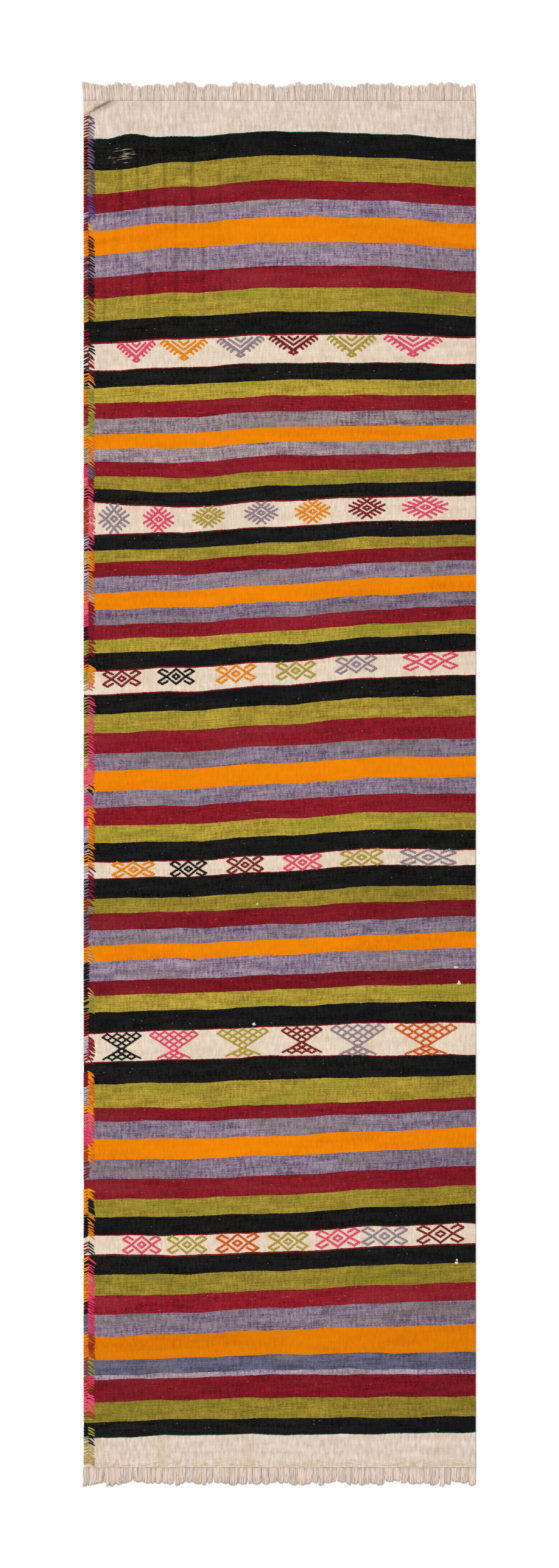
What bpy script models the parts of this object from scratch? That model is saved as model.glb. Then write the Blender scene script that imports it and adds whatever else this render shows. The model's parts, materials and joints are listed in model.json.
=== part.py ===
"""Flat-woven wool runner rug, laid flat, that folds in three for storage.

The cloth lies on the ground plane. X runs across it from the overcast edge to the plain selvedge,
Y runs along it towards the end with the turned corner, and Z is up. The origin is the middle of the
underside. Sizes are in metres. Places on the cloth are counted as a weaver counts them: ribs of warp
across from the overcast edge, and picks of weft down from the upper end.
"""

import math

import bmesh
import bpy

# Driving sizes of the weave.
WARP_RIB = 0.003125
WEFT_PICK = 0.001
RIBS = 256
THICKNESS = 0.003

# Depths in picks, from the upper end down: end bands, striped fields and the ground bands between.
END_BAND_TOP = 61
END_BAND_BOTTOM = 67
FIELDS = (413, 278, 272, 343, 314, 356, 370)
GROUND_BANDS = (62, 56, 52, 36, 63, 45)

# Warp ends left loose beyond the cloth.
FRINGE_TOP = 0.042
FRINGE_BOTTOM = 0.041
FRINGE_THICKNESS = 0.002
FRINGE_ROOT = 0.006
LOCK_RIBS = 5
LOCK_GAP = 0.0012

# Overcast edge: yarn wrapped over and under the cloth, which is pressed thinner inside it.
OVERCAST_WIDTH = 0.023
OVERCAST_RISE = 0.0008
OVERCAST_LIP = 0.0008
OVERCAST_EDGE = 0.0015
OVERCAST_START = 30
OVERCAST_STOP = 2782

# Brocaded figures stand proud of the ground band.
FIGURE_RELIEF = 0.0008

# The rug folds up and over at these picks, the upper third first.
FOLD_TOP = 902
FOLD_BOTTOM = 1867

# Clearances: between neighbouring pieces, and between folded layers, whose faces are a little cockled.
GAP = 0.0003
LAYER_CLEARANCE = 0.0058

# How far the weft stands above its height at the middle, in picks: the pick it is read at, then at
# the overcast edge, a quarter, three quarters and the selvedge.
DRIFT = (
    (0, 0, 0, 0, 0),
    (61, -17, -12, -6, -16),
    (112, -31, -15, -6, -14),
    (233, -30, -13, -2, -15),
    (433, -21, -9, 1, -9),
    (538, -17, -9, 0, -2),
    (723, -14, -15, 2, 7),
    (813, -3, -13, 8, 11),
    (873, -17, -12, 11, 14),
    (1053, -18, -11, 15, 24),
    (1193, -20, -13, 16, 21),
    (1353, -16, -11, 12, 14),
    (1553, -15, -12, 13, 11),
    (1683, -13, -8, 10, 17),
    (1883, -14, -7, 8, 8),
    (1953, -13, -8, 1, 2),
    (2053, -6, -6, 8, 16),
    (2233, -9, -7, 12, 20),
    (2353, -6, -6, 11, 17),
    (2463, -15, -10, 9, 16),
    (2593, -12, -7, 0, 1),
    (2723, -8, -1, 1, 5),
    (2788, 0, 0, 0, 0),
)
DRIFT_STATIONS = (0.0, 0.25, 0.5, 0.75, 1.0)

# Figures of each ground band: their kind, the picks they hang below the band's upper edge and, from
# the overcast edge, each one's yarn, first rib, ribs wide and picks tall.
FIGURES = (
    ("triangle", 4, (
        ("pink", 22, 25, 42), ("orange", 50, 31, 41), ("lavender", 87, 31, 41),
        ("burgundy", 121, 32, 39), ("olive", 159, 32, 44), ("pink", 196, 38, 42),
    )),
    ("burr", 2, (
        ("lavender", 10, 20, 52), ("pink", 39, 20, 51), ("olive", 71, 21, 44),
        ("lavender", 105, 22, 46), ("orange", 138, 23, 48), ("burgundy", 173, 24, 46),
        ("pink", 208, 30, 47),
    )),
    ("hooked", 3, (
        ("burgundy", 12, 26, 33), ("black", 48, 25, 33), ("orange", 86, 27, 36),
        ("olive", 125, 27, 37), ("lavender", 164, 28, 36), ("pink", 208, 37, 35),
    )),
    ("hooked", 1, (
        ("orange", 18, 29, 33), ("black", 56, 25, 34), ("burgundy", 93, 25, 34),
        ("pink", 130, 26, 34), ("olive", 167, 29, 34), ("lavender", 206, 38, 34),
    )),
    ("net", 3, (
        ("black", 12, 26, 55), ("pink", 43, 32, 56), ("olive", 87, 34, 56),
        ("burgundy", 129, 27, 53), ("lavender", 161, 36, 58), ("orange", 203, 41, 58),
    )),
    ("hooked", 2, (
        ("pink", 25, 26, 38), ("olive", 54, 27, 38), ("orange", 86, 29, 39),
        ("olive", 120, 27, 38), ("pink", 151, 30, 38), ("lavender", 181, 31, 38),
        ("burgundy", 217, 32, 38),
    )),
)

# Scene-linear colours of the yarns.
YARN_COLOURS = {
    "cream": (0.76, 0.65, 0.57),
    "warp": (0.68, 0.62, 0.54),
    "black": (0.010, 0.010, 0.011),
    "olive": (0.38, 0.25, 0.03),
    "burgundy": (0.22, 0.014, 0.022),
    "lavender": (0.26, 0.20, 0.25),
    "orange": (0.84, 0.21, 0.004),
    "pink": (0.74, 0.10, 0.20),
    "striped": (0.25, 0.14, 0.07),
    "overcast": (0.36, 0.09, 0.06),
}
WOOL_ROUGHNESS = 0.92

WIDTH = RIBS * WARP_RIB
OVERCAST_THICKNESS = THICKNESS + OVERCAST_RISE
EDGE_STATIONS = 16
CLOTH_PICKS = END_BAND_TOP + END_BAND_BOTTOM + sum(FIELDS) + sum(GROUND_BANDS)
CLOTH_LENGTH = CLOTH_PICKS * WEFT_PICK
TOTAL_LENGTH = CLOTH_LENGTH + FRINGE_TOP + FRINGE_BOTTOM
CLOTH_TOP_Y = TOTAL_LENGTH / 2 - FRINGE_TOP
CLOTH_BOTTOM_Y = CLOTH_TOP_Y - CLOTH_LENGTH
LAYER_GAP = 2 * (GAP + FIGURE_RELIEF) + LAYER_CLEARANCE
FOLD_TOP_Y = CLOTH_TOP_Y - FOLD_TOP * WEFT_PICK
FOLD_BOTTOM_Y = CLOTH_TOP_Y - FOLD_BOTTOM * WEFT_PICK
FOLD_TOP_Z = THICKNESS + LAYER_GAP / 2
FOLD_BOTTOM_Z = THICKNESS + THICKNESS / 2 + LAYER_GAP
OVERCAST_TOP_Y = CLOTH_TOP_Y - OVERCAST_START * WEFT_PICK
OVERCAST_BOTTOM_Y = CLOTH_TOP_Y - OVERCAST_STOP * WEFT_PICK

# The panels between the folds: the first and last pick of each, and where it is cut across.
PANEL_PICKS = {
    "top": (0, FOLD_TOP),
    "middle": (FOLD_TOP, FOLD_BOTTOM),
    "bottom": (FOLD_BOTTOM, CLOTH_PICKS),
}
PANEL_SPANS = {
    "top": (OVERCAST_TOP_Y, FOLD_TOP_Y + GAP / 2),
    "middle": (FOLD_TOP_Y - GAP / 2, FOLD_BOTTOM_Y + GAP / 2),
    "bottom": (FOLD_BOTTOM_Y - GAP / 2, OVERCAST_BOTTOM_Y),
}


def clear_scene():
    for old in list(bpy.data.objects):
        bpy.data.objects.remove(old, do_unlink=True)


def wool(name):
    """The material of one yarn, made once and shared by the pieces woven from it."""
    found = bpy.data.materials.get(name + "_wool")
    if found:
        return found
    material = bpy.data.materials.new(name + "_wool")
    material.use_nodes = True
    shader = material.node_tree.nodes["Principled BSDF"]
    shader.inputs["Base Color"].default_value = (*YARN_COLOURS[name], 1)
    shader.inputs["Roughness"].default_value = WOOL_ROUGHNESS
    shader.inputs["Metallic"].default_value = 0
    return material


def smooth_step(share):
    return share * share * (3 - 2 * share)


def drift_at(pick, share):
    """Picks that the weft stands above its height at the middle, at a share of the width."""
    pick = min(max(pick, DRIFT[0][0]), DRIFT[-1][0])
    for upper, lower in zip(DRIFT, DRIFT[1:]):
        if pick <= lower[0]:
            break
    down = (pick - upper[0]) / (lower[0] - upper[0])
    row = [above + (below - above) * down for above, below in zip(upper[1:], lower[1:])]
    row.insert(2, 0.0)
    share = min(max(share, 0.0), 1.0)
    cell = min(int(share * 4), 3)
    along = share * 4 - cell
    return row[cell] + (row[cell + 1] - row[cell]) * smooth_step(along)


def on_cloth(rib, pick):
    """The plan position of a rib and a pick."""
    lift = drift_at(pick, rib / RIBS)
    return rib * WARP_RIB - WIDTH / 2, CLOTH_TOP_Y - (pick - lift) * WEFT_PICK


def add_slab(name, outline, bottom, height, yarn):
    """A closed slab: the outline as one face, extruded upwards."""
    shape = bmesh.new()
    face = shape.faces.new([shape.verts.new((x, y, bottom)) for x, y in outline])
    raised = bmesh.ops.extrude_face_region(shape, geom=[face])["geom"]
    bmesh.ops.translate(
        shape,
        verts=[item for item in raised if isinstance(item, bmesh.types.BMVert)],
        vec=(0, 0, height),
    )
    bmesh.ops.recalc_face_normals(shape, faces=shape.faces)
    mesh = bpy.data.meshes.new(name)
    shape.to_mesh(mesh)
    shape.free()
    slab = bpy.data.objects.new(name, mesh)
    slab.data.materials.append(wool(yarn))
    bpy.context.scene.collection.objects.link(slab)
    return slab


def weft_edge(pick, shift):
    """Points along one line of weft, moved up the cloth by a shift in metres."""
    points = []
    for station in range(EDGE_STATIONS + 1):
        x, y = on_cloth(RIBS * station / EDGE_STATIONS, pick)
        points.append((x, y + shift))
    return points


def add_cloth(name, first_pick, last_pick, yarn):
    """A full-width stretch of cloth between two lines of weft, half a gap inside each."""
    outline = weft_edge(first_pick, -GAP / 2) + weft_edge(last_pick, GAP / 2)[::-1]
    return add_slab(name, outline, 0.0, THICKNESS, yarn)


def trim(piece, y, keep_upper):
    """Cuts a stretch of cloth straight across at y, for a fold."""
    shape = bmesh.new()
    shape.from_mesh(piece.data)
    bmesh.ops.bisect_plane(
        shape,
        geom=[*shape.verts, *shape.edges, *shape.faces],
        plane_co=(0, y, 0),
        plane_no=(0, -1 if keep_upper else 1, 0),
        clear_outer=True,
    )
    rim = [edge for edge in shape.edges if edge.is_boundary]
    bmesh.ops.edgeloop_fill(shape, edges=rim)
    bmesh.ops.recalc_face_normals(shape, faces=shape.faces)
    shape.to_mesh(piece.data)
    shape.free()


def add_stretch(name, first_pick, last_pick, yarn):
    """A stretch of cloth as one piece for each panel that it lies on: (panel, piece)."""
    panels = [
        panel
        for panel, (start, end) in PANEL_PICKS.items()
        if first_pick < end and last_pick > start
    ]
    made = []
    for panel in panels:
        own_name = name if len(panels) == 1 else f"{name}_{panel}"
        piece = add_cloth(own_name, first_pick, last_pick, yarn)
        if panel != panels[0]:
            trim(piece, PANEL_SPANS[panel][0], keep_upper=False)
        if panel != panels[-1]:
            trim(piece, PANEL_SPANS[panel][1], keep_upper=True)
        made.append((panel, piece))
    return made


def channel_outline(slack):
    """Section of the overcast edge as (x, z): a channel open towards the cloth, grown by a slack."""
    outer = -WIDTH / 2
    inner = outer + OVERCAST_WIDTH + slack
    web = outer + OVERCAST_EDGE + slack
    low = OVERCAST_LIP + slack
    high = OVERCAST_THICKNESS - OVERCAST_LIP - slack
    reach = slack / GAP * OVERCAST_WIDTH
    return (
        (outer - reach, -reach), (inner, -reach), (inner, low), (web, low),
        (web, high), (inner, high), (inner, OVERCAST_THICKNESS + reach),
        (outer - reach, OVERCAST_THICKNESS + reach),
    )


def add_channel(name, upper_y, lower_y, slack):
    """A length of the overcast edge, or with a slack the tool that cuts its seat."""
    length = add_slab(name, channel_outline(slack), 0.0, upper_y - lower_y, "overcast")
    for vertex in length.data.vertices:
        x, z, rise = vertex.co
        vertex.co = (x, lower_y + rise, z)
    length.data.flip_normals()
    return length


def seat_overcast(pieces):
    """Presses each cloth piece thinner where the overcast edge wraps it."""
    tool = add_channel("overcast_seat", OVERCAST_TOP_Y + GAP, OVERCAST_BOTTOM_Y - GAP, GAP)
    tool.hide_render = True
    tool.display_type = "WIRE"
    for piece in pieces:
        cut = piece.modifiers.new("overcast seat", "BOOLEAN")
        cut.operation = "DIFFERENCE"
        cut.solver = "EXACT"
        cut.object = tool


def add_fringe(name, root_y, reach, outward):
    """Loose warp ends in soft locks on a common root. outward is 1 at the upper end, -1 at the lower."""
    locks = RIBS // LOCK_RIBS
    pitch = WIDTH / locks
    root = root_y + outward * GAP / 2
    outline = [(WIDTH / 2, root), (-WIDTH / 2, root)]
    for lock in range(locks):
        left = -WIDTH / 2 + lock * pitch + (LOCK_GAP / 2 if lock else 0)
        right = -WIDTH / 2 + (lock + 1) * pitch - (LOCK_GAP / 2 if lock < locks - 1 else 0)
        shorter = 0.12 * reach * math.sin(2.4 * lock) ** 2
        shoulder = reach * 0.86 - shorter
        tip = reach - shorter
        outline += [
            (left, root_y + outward * (FRINGE_ROOT if lock else shoulder)),
            (left, root_y + outward * shoulder),
            ((left + right) / 2, root_y + outward * tip),
            (right, root_y + outward * shoulder),
        ]
        if lock < locks - 1:
            outline.append((right, root_y + outward * FRINGE_ROOT))
    outline = [
        point for point, before in zip(outline, outline[-1:] + outline[:-1]) if point != before
    ]
    return add_slab(name, outline, 0.0, FRINGE_THICKNESS, "warp")


def mirrored(half):
    """Closes a right-hand half outline, from top to bottom, with its mirror image."""
    left = [(-across, down) for across, down in reversed(half) if across > 0]
    return list(half) + left


def triangle_outline():
    """A triangle that hangs from its long side, with comb teeth down both slopes."""
    half = [(0.0, 0.0), (0.46, 0.0)]
    for tooth in range(4):
        half.append((0.50 - 0.115 * tooth, 0.14 + 0.21 * tooth))
        half.append((0.38 - 0.110 * tooth, 0.20 + 0.21 * tooth))
    half.append((0.0, 1.0))
    return mirrored(half)


def burr_outline():
    """A diamond with short rays all round."""
    points = 32
    outline = []
    for point in range(points):
        turn = 2 * math.pi * point / points
        reach = 0.5 if point % 2 == 0 else 0.39
        spread = (abs(math.sin(turn)) + abs(math.cos(turn))) ** 0.7
        outline.append((reach * math.sin(turn) / spread, 0.5 - reach * math.cos(turn) / spread))
    return outline


def hooked_outline():
    """A diamond with four hooked arms."""
    upper = [
        (0.0, 0.08), (0.12, 0.30), (0.24, 0.06), (0.40, 0.0), (0.50, 0.10),
        (0.47, 0.34), (0.38, 0.30), (0.33, 0.42), (0.38, 0.50),
    ]
    lower = [(across, 1 - down) for across, down in reversed(upper[:-1])]
    return mirrored(upper + lower)


def net_outline():
    """A net of lozenges, wide at the top, with a waist above flared feet."""
    half = [(0.0, 0.04), (0.08, 0.0), (0.16, 0.07), (0.24, 0.0), (0.32, 0.07), (0.42, 0.0)]
    half += [(0.50, 0.12), (0.34, 0.38), (0.16, 0.60), (0.30, 0.74), (0.42, 0.96), (0.30, 1.0)]
    half += [(0.20, 0.86), (0.12, 0.98), (0.0, 0.90)]
    return mirrored(half)


OUTLINES = {
    "triangle": triangle_outline,
    "burr": burr_outline,
    "hooked": hooked_outline,
    "net": net_outline,
}


def add_figures(band, first_pick):
    """The brocaded figures of one ground band."""
    kind, inset, row = FIGURES[band]
    outline = OUTLINES[kind]()
    made = []
    for place, (yarn, rib, ribs, picks) in enumerate(row):
        points = [
            on_cloth(rib + (across + 0.5) * ribs, first_pick + inset + down * picks)
            for across, down in outline
        ]
        name = f"{kind}_figure_{band + 1}_{place + 1}_{yarn}"
        made.append(add_slab(name, points, THICKNESS + GAP, FIGURE_RELIEF, yarn))
    return made


def hinge_empty(name, y, z, pieces):
    """An empty on a fold's axis that carries the panel's pieces."""
    axis = bpy.data.objects.new(name, None)
    axis.location = (0, y, z)
    bpy.context.scene.collection.objects.link(axis)
    bpy.context.view_layer.update()
    for piece in pieces:
        piece.parent = axis
        piece.matrix_parent_inverse = axis.matrix_world.inverted()


def main():
    clear_scene()
    cloth = add_stretch("end_band_top", 0, END_BAND_TOP, "cream")
    figures = []
    pick = END_BAND_TOP
    for number, depth in enumerate(FIELDS):
        cloth += add_stretch(f"striped_field_{number + 1}", pick, pick + depth, "striped")
        pick += depth
        if number < len(GROUND_BANDS):
            below = pick + GROUND_BANDS[number]
            band = add_stretch(f"ground_band_{number + 1}", pick, below, "cream")
            figures += [(band[0][0], figure) for figure in add_figures(number, pick)]
            cloth += band
            pick = below
    cloth += add_stretch("end_band_bottom", pick, pick + END_BAND_BOTTOM, "cream")
    seat_overcast([piece for _, piece in cloth])

    edges = [
        (panel, add_channel(f"overcast_edge_{panel}", upper_y, lower_y, 0.0))
        for panel, (upper_y, lower_y) in PANEL_SPANS.items()
    ]
    fringes = [
        ("top", add_fringe("fringe_top", CLOTH_TOP_Y, FRINGE_TOP, 1)),
        ("bottom", add_fringe("fringe_bottom", CLOTH_BOTTOM_Y, FRINGE_BOTTOM, -1)),
    ]
    pieces = {panel: [] for panel in PANEL_PICKS}
    for panel, piece in cloth + figures + edges + fringes:
        pieces[panel].append(piece)
    hinge_empty("top_fold_axis", FOLD_TOP_Y, FOLD_TOP_Z, pieces["top"])
    hinge_empty("bottom_fold_axis", FOLD_BOTTOM_Y, FOLD_BOTTOM_Z, pieces["bottom"])


main()
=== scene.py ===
"""Looks of a flat-woven wool runner rug: striped cloth, brocaded figures, overcast edge and fringe.

The rug lies flat. X runs across it from the overcast edge to the plain selvedge, Y runs along it
towards the end with the turned corner, and Z is up. Sizes are in metres. Places on the cloth are
counted as a weaver counts them: ribs of warp across, and picks of weft down from the upper end.
"""

import json
import math

import bpy
import numpy as np
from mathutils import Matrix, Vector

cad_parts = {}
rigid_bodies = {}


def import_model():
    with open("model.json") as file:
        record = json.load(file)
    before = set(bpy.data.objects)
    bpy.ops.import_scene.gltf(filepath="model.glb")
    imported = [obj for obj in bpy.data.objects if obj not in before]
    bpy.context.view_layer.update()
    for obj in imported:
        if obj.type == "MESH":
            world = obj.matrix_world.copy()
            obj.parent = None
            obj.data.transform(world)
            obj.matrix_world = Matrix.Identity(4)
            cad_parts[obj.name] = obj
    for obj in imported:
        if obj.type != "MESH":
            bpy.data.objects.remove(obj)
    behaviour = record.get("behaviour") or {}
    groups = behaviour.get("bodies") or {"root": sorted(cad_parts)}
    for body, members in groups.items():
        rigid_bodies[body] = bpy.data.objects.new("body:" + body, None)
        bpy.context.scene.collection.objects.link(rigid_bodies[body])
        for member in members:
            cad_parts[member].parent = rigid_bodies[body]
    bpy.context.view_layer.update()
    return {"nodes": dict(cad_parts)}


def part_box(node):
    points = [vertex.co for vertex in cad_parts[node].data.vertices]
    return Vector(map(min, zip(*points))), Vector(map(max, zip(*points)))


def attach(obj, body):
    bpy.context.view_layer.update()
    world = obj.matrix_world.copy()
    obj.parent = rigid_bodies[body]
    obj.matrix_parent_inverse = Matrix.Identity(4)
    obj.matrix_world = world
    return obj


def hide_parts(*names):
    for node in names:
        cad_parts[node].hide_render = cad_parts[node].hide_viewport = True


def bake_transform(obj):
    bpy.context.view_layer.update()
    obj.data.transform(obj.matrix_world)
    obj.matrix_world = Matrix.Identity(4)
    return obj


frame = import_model()

bl_info = {
    "name": "Runner Rug",
    "version": (1, 0, 0),
    "blender": (4, 5, 0),
    "location": "3D View > Sidebar > Rug",
    "description": "Weaves, brocades and finishes a flat-woven runner rug",
    "category": "Add Mesh",
}

# Counts of the weave.
RIBS = 256
WEFT_PICK = 0.001
GAP = 0.0003
END_BAND_TOP = 61
END_BAND_BOTTOM = 67
GROUND_BANDS = (62, 56, 52, 36, 63, 45)

# Stripes of each field from its upper edge: the yarns in their order, which the last field breaks
# with a stripe of slate, and for each stripe its depth in picks and its tone in steps of dye.
YARN_ORDER = (
    "black", "olive", "burgundy", "lavender", "orange", "lavender", "burgundy", "olive", "black",
)
LAST_ORDER = (*YARN_ORDER[:5], "slate", *YARN_ORDER[5:])
FIELDS = (
    ((49, -1), (51, -1), (39, -1), (36, -1), (52, 0), (48, -1), (45, 0), (49, 0), (44, 0)),
    ((33, 1), (32, 2), (32, 0), (32, -1), (30, 0), (28, 1), (32, 0), (30, -2), (29, 2)),
    ((31, 2), (24, -1), (30, -2), (32, -2), (35, 0), (31, -5), (29, 0), (27, 1), (33, 1)),
    ((38, 0), (40, 0), (44, 0), (35, -4), (42, 0), (33, -3), (38, 0), (35, 1), (38, 1)),
    ((41, 0), (31, -3), (35, -3), (31, -3), (31, 0), (41, -2), (30, -4), (34, 1), (40, 0)),
    ((46, 1), (52, 0), (27, -2), (36, -3), (41, 0), (40, -4), (40, -1), (37, -2), (37, -1)),
    ((35, 1), (40, -3), (36, 1), (45, -4), (50, -2), (31, -2), (10, 2), (47, -3), (42, -4), (34, 1)),
)
FIRST_STRIPE = "stripe_1_1_black"
LAST_STRIPE = "stripe_7_10_black"
GREY_STRIPES = ("stripe_2_4_lavender", "stripe_2_6_lavender")

# Picks of burgundy that edge each ground band: above it and below it.
EDGINGS = ((3.6, 2.2), (3.0, 2.4), (3.0, 2.6), (2.4, 2.0), (2.4, 2.4), (2.4, 3.4))
# Picks of green at the outer edges of the first stripe and the last.
GREEN_PICKS = 1.7

# How far the weft stands above its height at the middle, in picks: the pick it is read at, then at
# the overcast edge, a quarter, three quarters and the selvedge.
DRIFT = (
    (0, 0, 0, 0, 0),
    (61, -17, -12, -6, -16),
    (112, -31, -15, -6, -14),
    (233, -30, -13, -2, -15),
    (433, -21, -9, 1, -9),
    (538, -17, -9, 0, -2),
    (723, -14, -15, 2, 7),
    (813, -3, -13, 8, 11),
    (873, -17, -12, 11, 14),
    (1053, -18, -11, 15, 24),
    (1193, -20, -13, 16, 21),
    (1353, -16, -11, 12, 14),
    (1553, -15, -12, 13, 11),
    (1683, -13, -8, 10, 17),
    (1883, -14, -7, 8, 8),
    (1953, -13, -8, 1, 2),
    (2053, -6, -6, 8, 16),
    (2233, -9, -7, 12, 20),
    (2353, -6, -6, 11, 17),
    (2463, -15, -10, 9, 16),
    (2593, -12, -7, 0, 1),
    (2723, -8, -1, 1, 5),
    (2788, 0, 0, 0, 0),
)

# Local ripples of the weft: pick, distance from the overcast edge, lift in picks, and how far the
# ripple reaches across and along the cloth.
RIPPLES = (
    (61, 0.096, 9.5, 0.036, 14),
    (110, 0.096, -4.5, 0.050, 18),
)

# Figures of each ground band: their kind, the picks they hang below the band's upper edge and, from
# the overcast edge, each one's yarn, first rib, ribs wide and picks tall.
FIGURES = (
    ("triangle", 4, (
        ("pink", 22, 25, 42), ("orange", 50, 31, 41), ("lavender", 87, 31, 41),
        ("burgundy", 121, 32, 39), ("olive", 159, 32, 44), ("pink", 196, 38, 42),
    )),
    ("burr", 2, (
        ("lavender", 10, 20, 52), ("pink", 39, 20, 51), ("olive", 71, 21, 44),
        ("lavender", 105, 22, 46), ("orange", 138, 23, 48), ("burgundy", 173, 24, 46),
        ("pink", 208, 30, 47),
    )),
    ("hooked", 3, (
        ("burgundy", 12, 26, 33), ("black", 48, 25, 33), ("orange", 86, 27, 36),
        ("olive", 125, 27, 37), ("lavender", 164, 28, 36), ("pink", 208, 37, 35),
    )),
    ("hooked", 1, (
        ("orange", 18, 29, 33), ("black", 56, 25, 34), ("burgundy", 93, 25, 34),
        ("pink", 130, 26, 34), ("olive", 167, 29, 34), ("lavender", 206, 38, 34),
    )),
    ("net", 3, (
        ("black", 12, 26, 55), ("pink", 43, 32, 56), ("olive", 87, 34, 56),
        ("burgundy", 129, 27, 53), ("lavender", 161, 36, 58), ("orange", 203, 41, 58),
    )),
    ("hooked", 2, (
        ("pink", 25, 26, 38), ("olive", 54, 27, 38), ("orange", 86, 29, 39),
        ("olive", 120, 27, 38), ("pink", 151, 30, 38), ("lavender", 181, 31, 38),
        ("burgundy", 217, 32, 38),
    )),
)

# The overcast edge in runs of yarn: how far down from the cloth's upper end the run reaches, in
# millimetres, the outer column's yarn, the inner column's yarn, and "close" where the stitches lie
# close. "bare" is a column without stitches.
OVERCAST_RUNS = """
82 burgundy violet, 189 rust violet, 212 burgundy indigo, 229 burgundy indigo close, 236 lavender indigo,
251 burgundy bare, 264 burgundy straw close, 275 orange bare, 316 orange black, 366 burgundy black, 399
burgundy black close, 440 olive burgundy, 455 orange black, 467 bare bare, 496 burgundy bare, 521 burgundy
black, 554 black burgundy, 574 orange orange, 589 olive straw, 620 orange olive close, 664 rust olive
close, 683 straw olive close, 707 orange orange close, 741 straw orange, 769 pink slate close, 790 salmon
burgundy close, 813 salmon pink, 887 rust salmon close, 918 lavender pink, 949 straw orange close, 1005
lavender orange, 1018 salmon lavender, 1049 salmon burgundy close, 1074 pink burgundy close, 1101 black
burgundy, 1130 olive burgundy, 1151 burgundy bare, 1161 orange orange close, 1186 olive orange close, 1204
straw salmon, 1213 bare bare, 1258 olive pink, 1291 bare salmon close, 1335 olive pink, 1362 straw pink
close, 1397 salmon salmon close, 1413 lavender black, 1439 pink pink, 1459 salmon orange close, 1479 pink
orange close, 1512 lavender orange close, 1543 lavender orange, 1564 orange orange, 1589 lavender
burgundy, 1623 slate burgundy, 1645 rust burgundy, 1657 burgundy slate, 1701 slate bare, 1728 burgundy
bare, 1757 orange straw, 1788 black bare close, 1809 black bare, 1831 black straw, 1862 black olive, 1879
rust bare, 1906 burgundy bare, 1943 lavender burgundy close, 1966 burgundy burgundy, 1981 bare bare, 2011
burgundy orange close, 2049 lavender orange close, 2065 orange orange close, 2098 salmon salmon close,
2129 pink pink close, 2165 rust orange close, 2198 burgundy bare, 2219 bare bare, 2239 orange orange
close, 2269 orange black close, 2297 black orange, 2318 black orange close, 2326 bare bare, 2356 burgundy
black, 2362 bare bare, 2397 orange pink, 2434 orange salmon close, 2453 orange pink close, 2477 black
pink, 2514 slate pink close, 2564 orange rust close, 2599 rust olive, 2614 rust pink close, 2639 pink rust
close, 2651 pink pink close, 2676 salmon salmon close, 2686 rust rust, 2695 olive olive, 2704 bare bare,
2726 black olive, 2744 olive black, 2760 straw straw, 2782 straw straw close
"""

# Tufts of pale wool pulled up through the cloth: how far right of and above the middle of the rug,
# how wide and how tall, in millimetres.
TUFTS = (
    (360, -374, 9, 4), (366, -403, 4, 3), (366, -407, 8, 4), (-52, -490, 7, 7),
    (-45, -245, 4, 4), (362, -971, 5, 4), (361, -977, 8, 5),
)

# Widths and lengths read from the frame.
CLOTH_TOP_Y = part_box("end_band_top")[1].y + GAP / 2
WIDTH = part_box("end_band_top")[1].x * 2
WARP_RIB = WIDTH / RIBS
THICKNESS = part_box("ground_band_1")[1].z
FRINGE_TOP_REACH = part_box("fringe_top")[1].y - CLOTH_TOP_Y
FRINGE_BOTTOM_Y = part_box("end_band_bottom")[0].y
FRINGE_BOTTOM_REACH = FRINGE_BOTTOM_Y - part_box("fringe_bottom")[0].y
OVERCAST_TOP_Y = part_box("overcast_edge_top")[1].y
OVERCAST_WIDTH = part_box("overcast_edge_top")[1].x + WIDTH / 2
FOLD_TOP_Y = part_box("overcast_edge_middle")[1].y
FOLD_BOTTOM_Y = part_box("overcast_edge_middle")[0].y

# Half the length of cloth that turns round each fold, and how much further off a stretch of cloth already
# gets close rows.
TOP_TURN = 0.0086
BOTTOM_TURN = 0.0172
TURN_MARGIN = 0.004

# Across the cloth there is a line of points down every rib's crown and down every valley.
RIB_LINES = np.linspace(-WIDTH / 2, WIDTH / 2, 2 * RIBS + 1)
CROWNS = (np.arange(2 * RIBS + 1) % 2).astype(float)
ROW_PITCH = 0.008
FOLD_ROW_PITCH = 0.0016

# Under the overcast stitches the cloth is pressed thinner on both faces, and its edge is drawn in.
OVERCAST_LENGTH = 2.752
PRESSED_ABOVE = 0.0006
PRESSED_BELOW = 0.0009
EDGE_DRAWN_IN = 0.0012
UNDER_RIB_HEIGHT = 0.0004
RIM = 0.0016

# The turned corner: how far its fold reaches across and down, how high it stands, and the lumps of
# its knot, each with its distance across and down, its size and its height.
CORNER_ACROSS = 0.052
CORNER_DOWN = 0.030
CORNER_HEIGHT = 0.0028
KNOT_LUMPS = (
    (0.0290, 0.0075, 0.0052, 0.00204), (0.0185, 0.0085, 0.0042, 0.00132),
    (0.0230, 0.0165, 0.0036, 0.00108), (0.0125, 0.0205, 0.0050, 0.00156),
    (0.0360, 0.0045, 0.0040, 0.00096), (0.0080, 0.0120, 0.0060, 0.00072),
)

# Places on the cloth, in metres across it from the overcast edge and down it from its upper end:
# the middle of the worn place with its reach, and the stretch in which the last picks yellow.
WORN_ACROSS, WORN_DOWN = 0.078, 0.089
WORN_WIDTH, WORN_DEPTH = 0.030, 0.011
YELLOWED_FROM, YELLOWED_TO = 2.768, 2.782

# How much lighter a wool gets with each step of tone.
TONE_STEP = 1.075

# Lengths of brocading yarn: the shortest, the ribs that the longest crosses, how far each reaches
# past its own ends, its thickness, and its width as a share of its row. A figure is drawn a little
# narrower than its ribs, which leaves room for the thickness of its lines.
SHORTEST_FLOAT = 0.0024
LONGEST_FLOAT_RIBS = 4
FLOAT_OVERLAP = 0.0005
FLOAT_THICKNESS = 0.0016
FLOAT_ROW_SHARE = 1.12
FIGURE_MARGIN = 0.003

# How much wider along the edge a stitch is than the yarn modelled for it, and the height above which
# it lies on top of the edge and slants the other way.
STITCH_THICK = 2.4
STITCH_TOP = 0.0019

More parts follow.
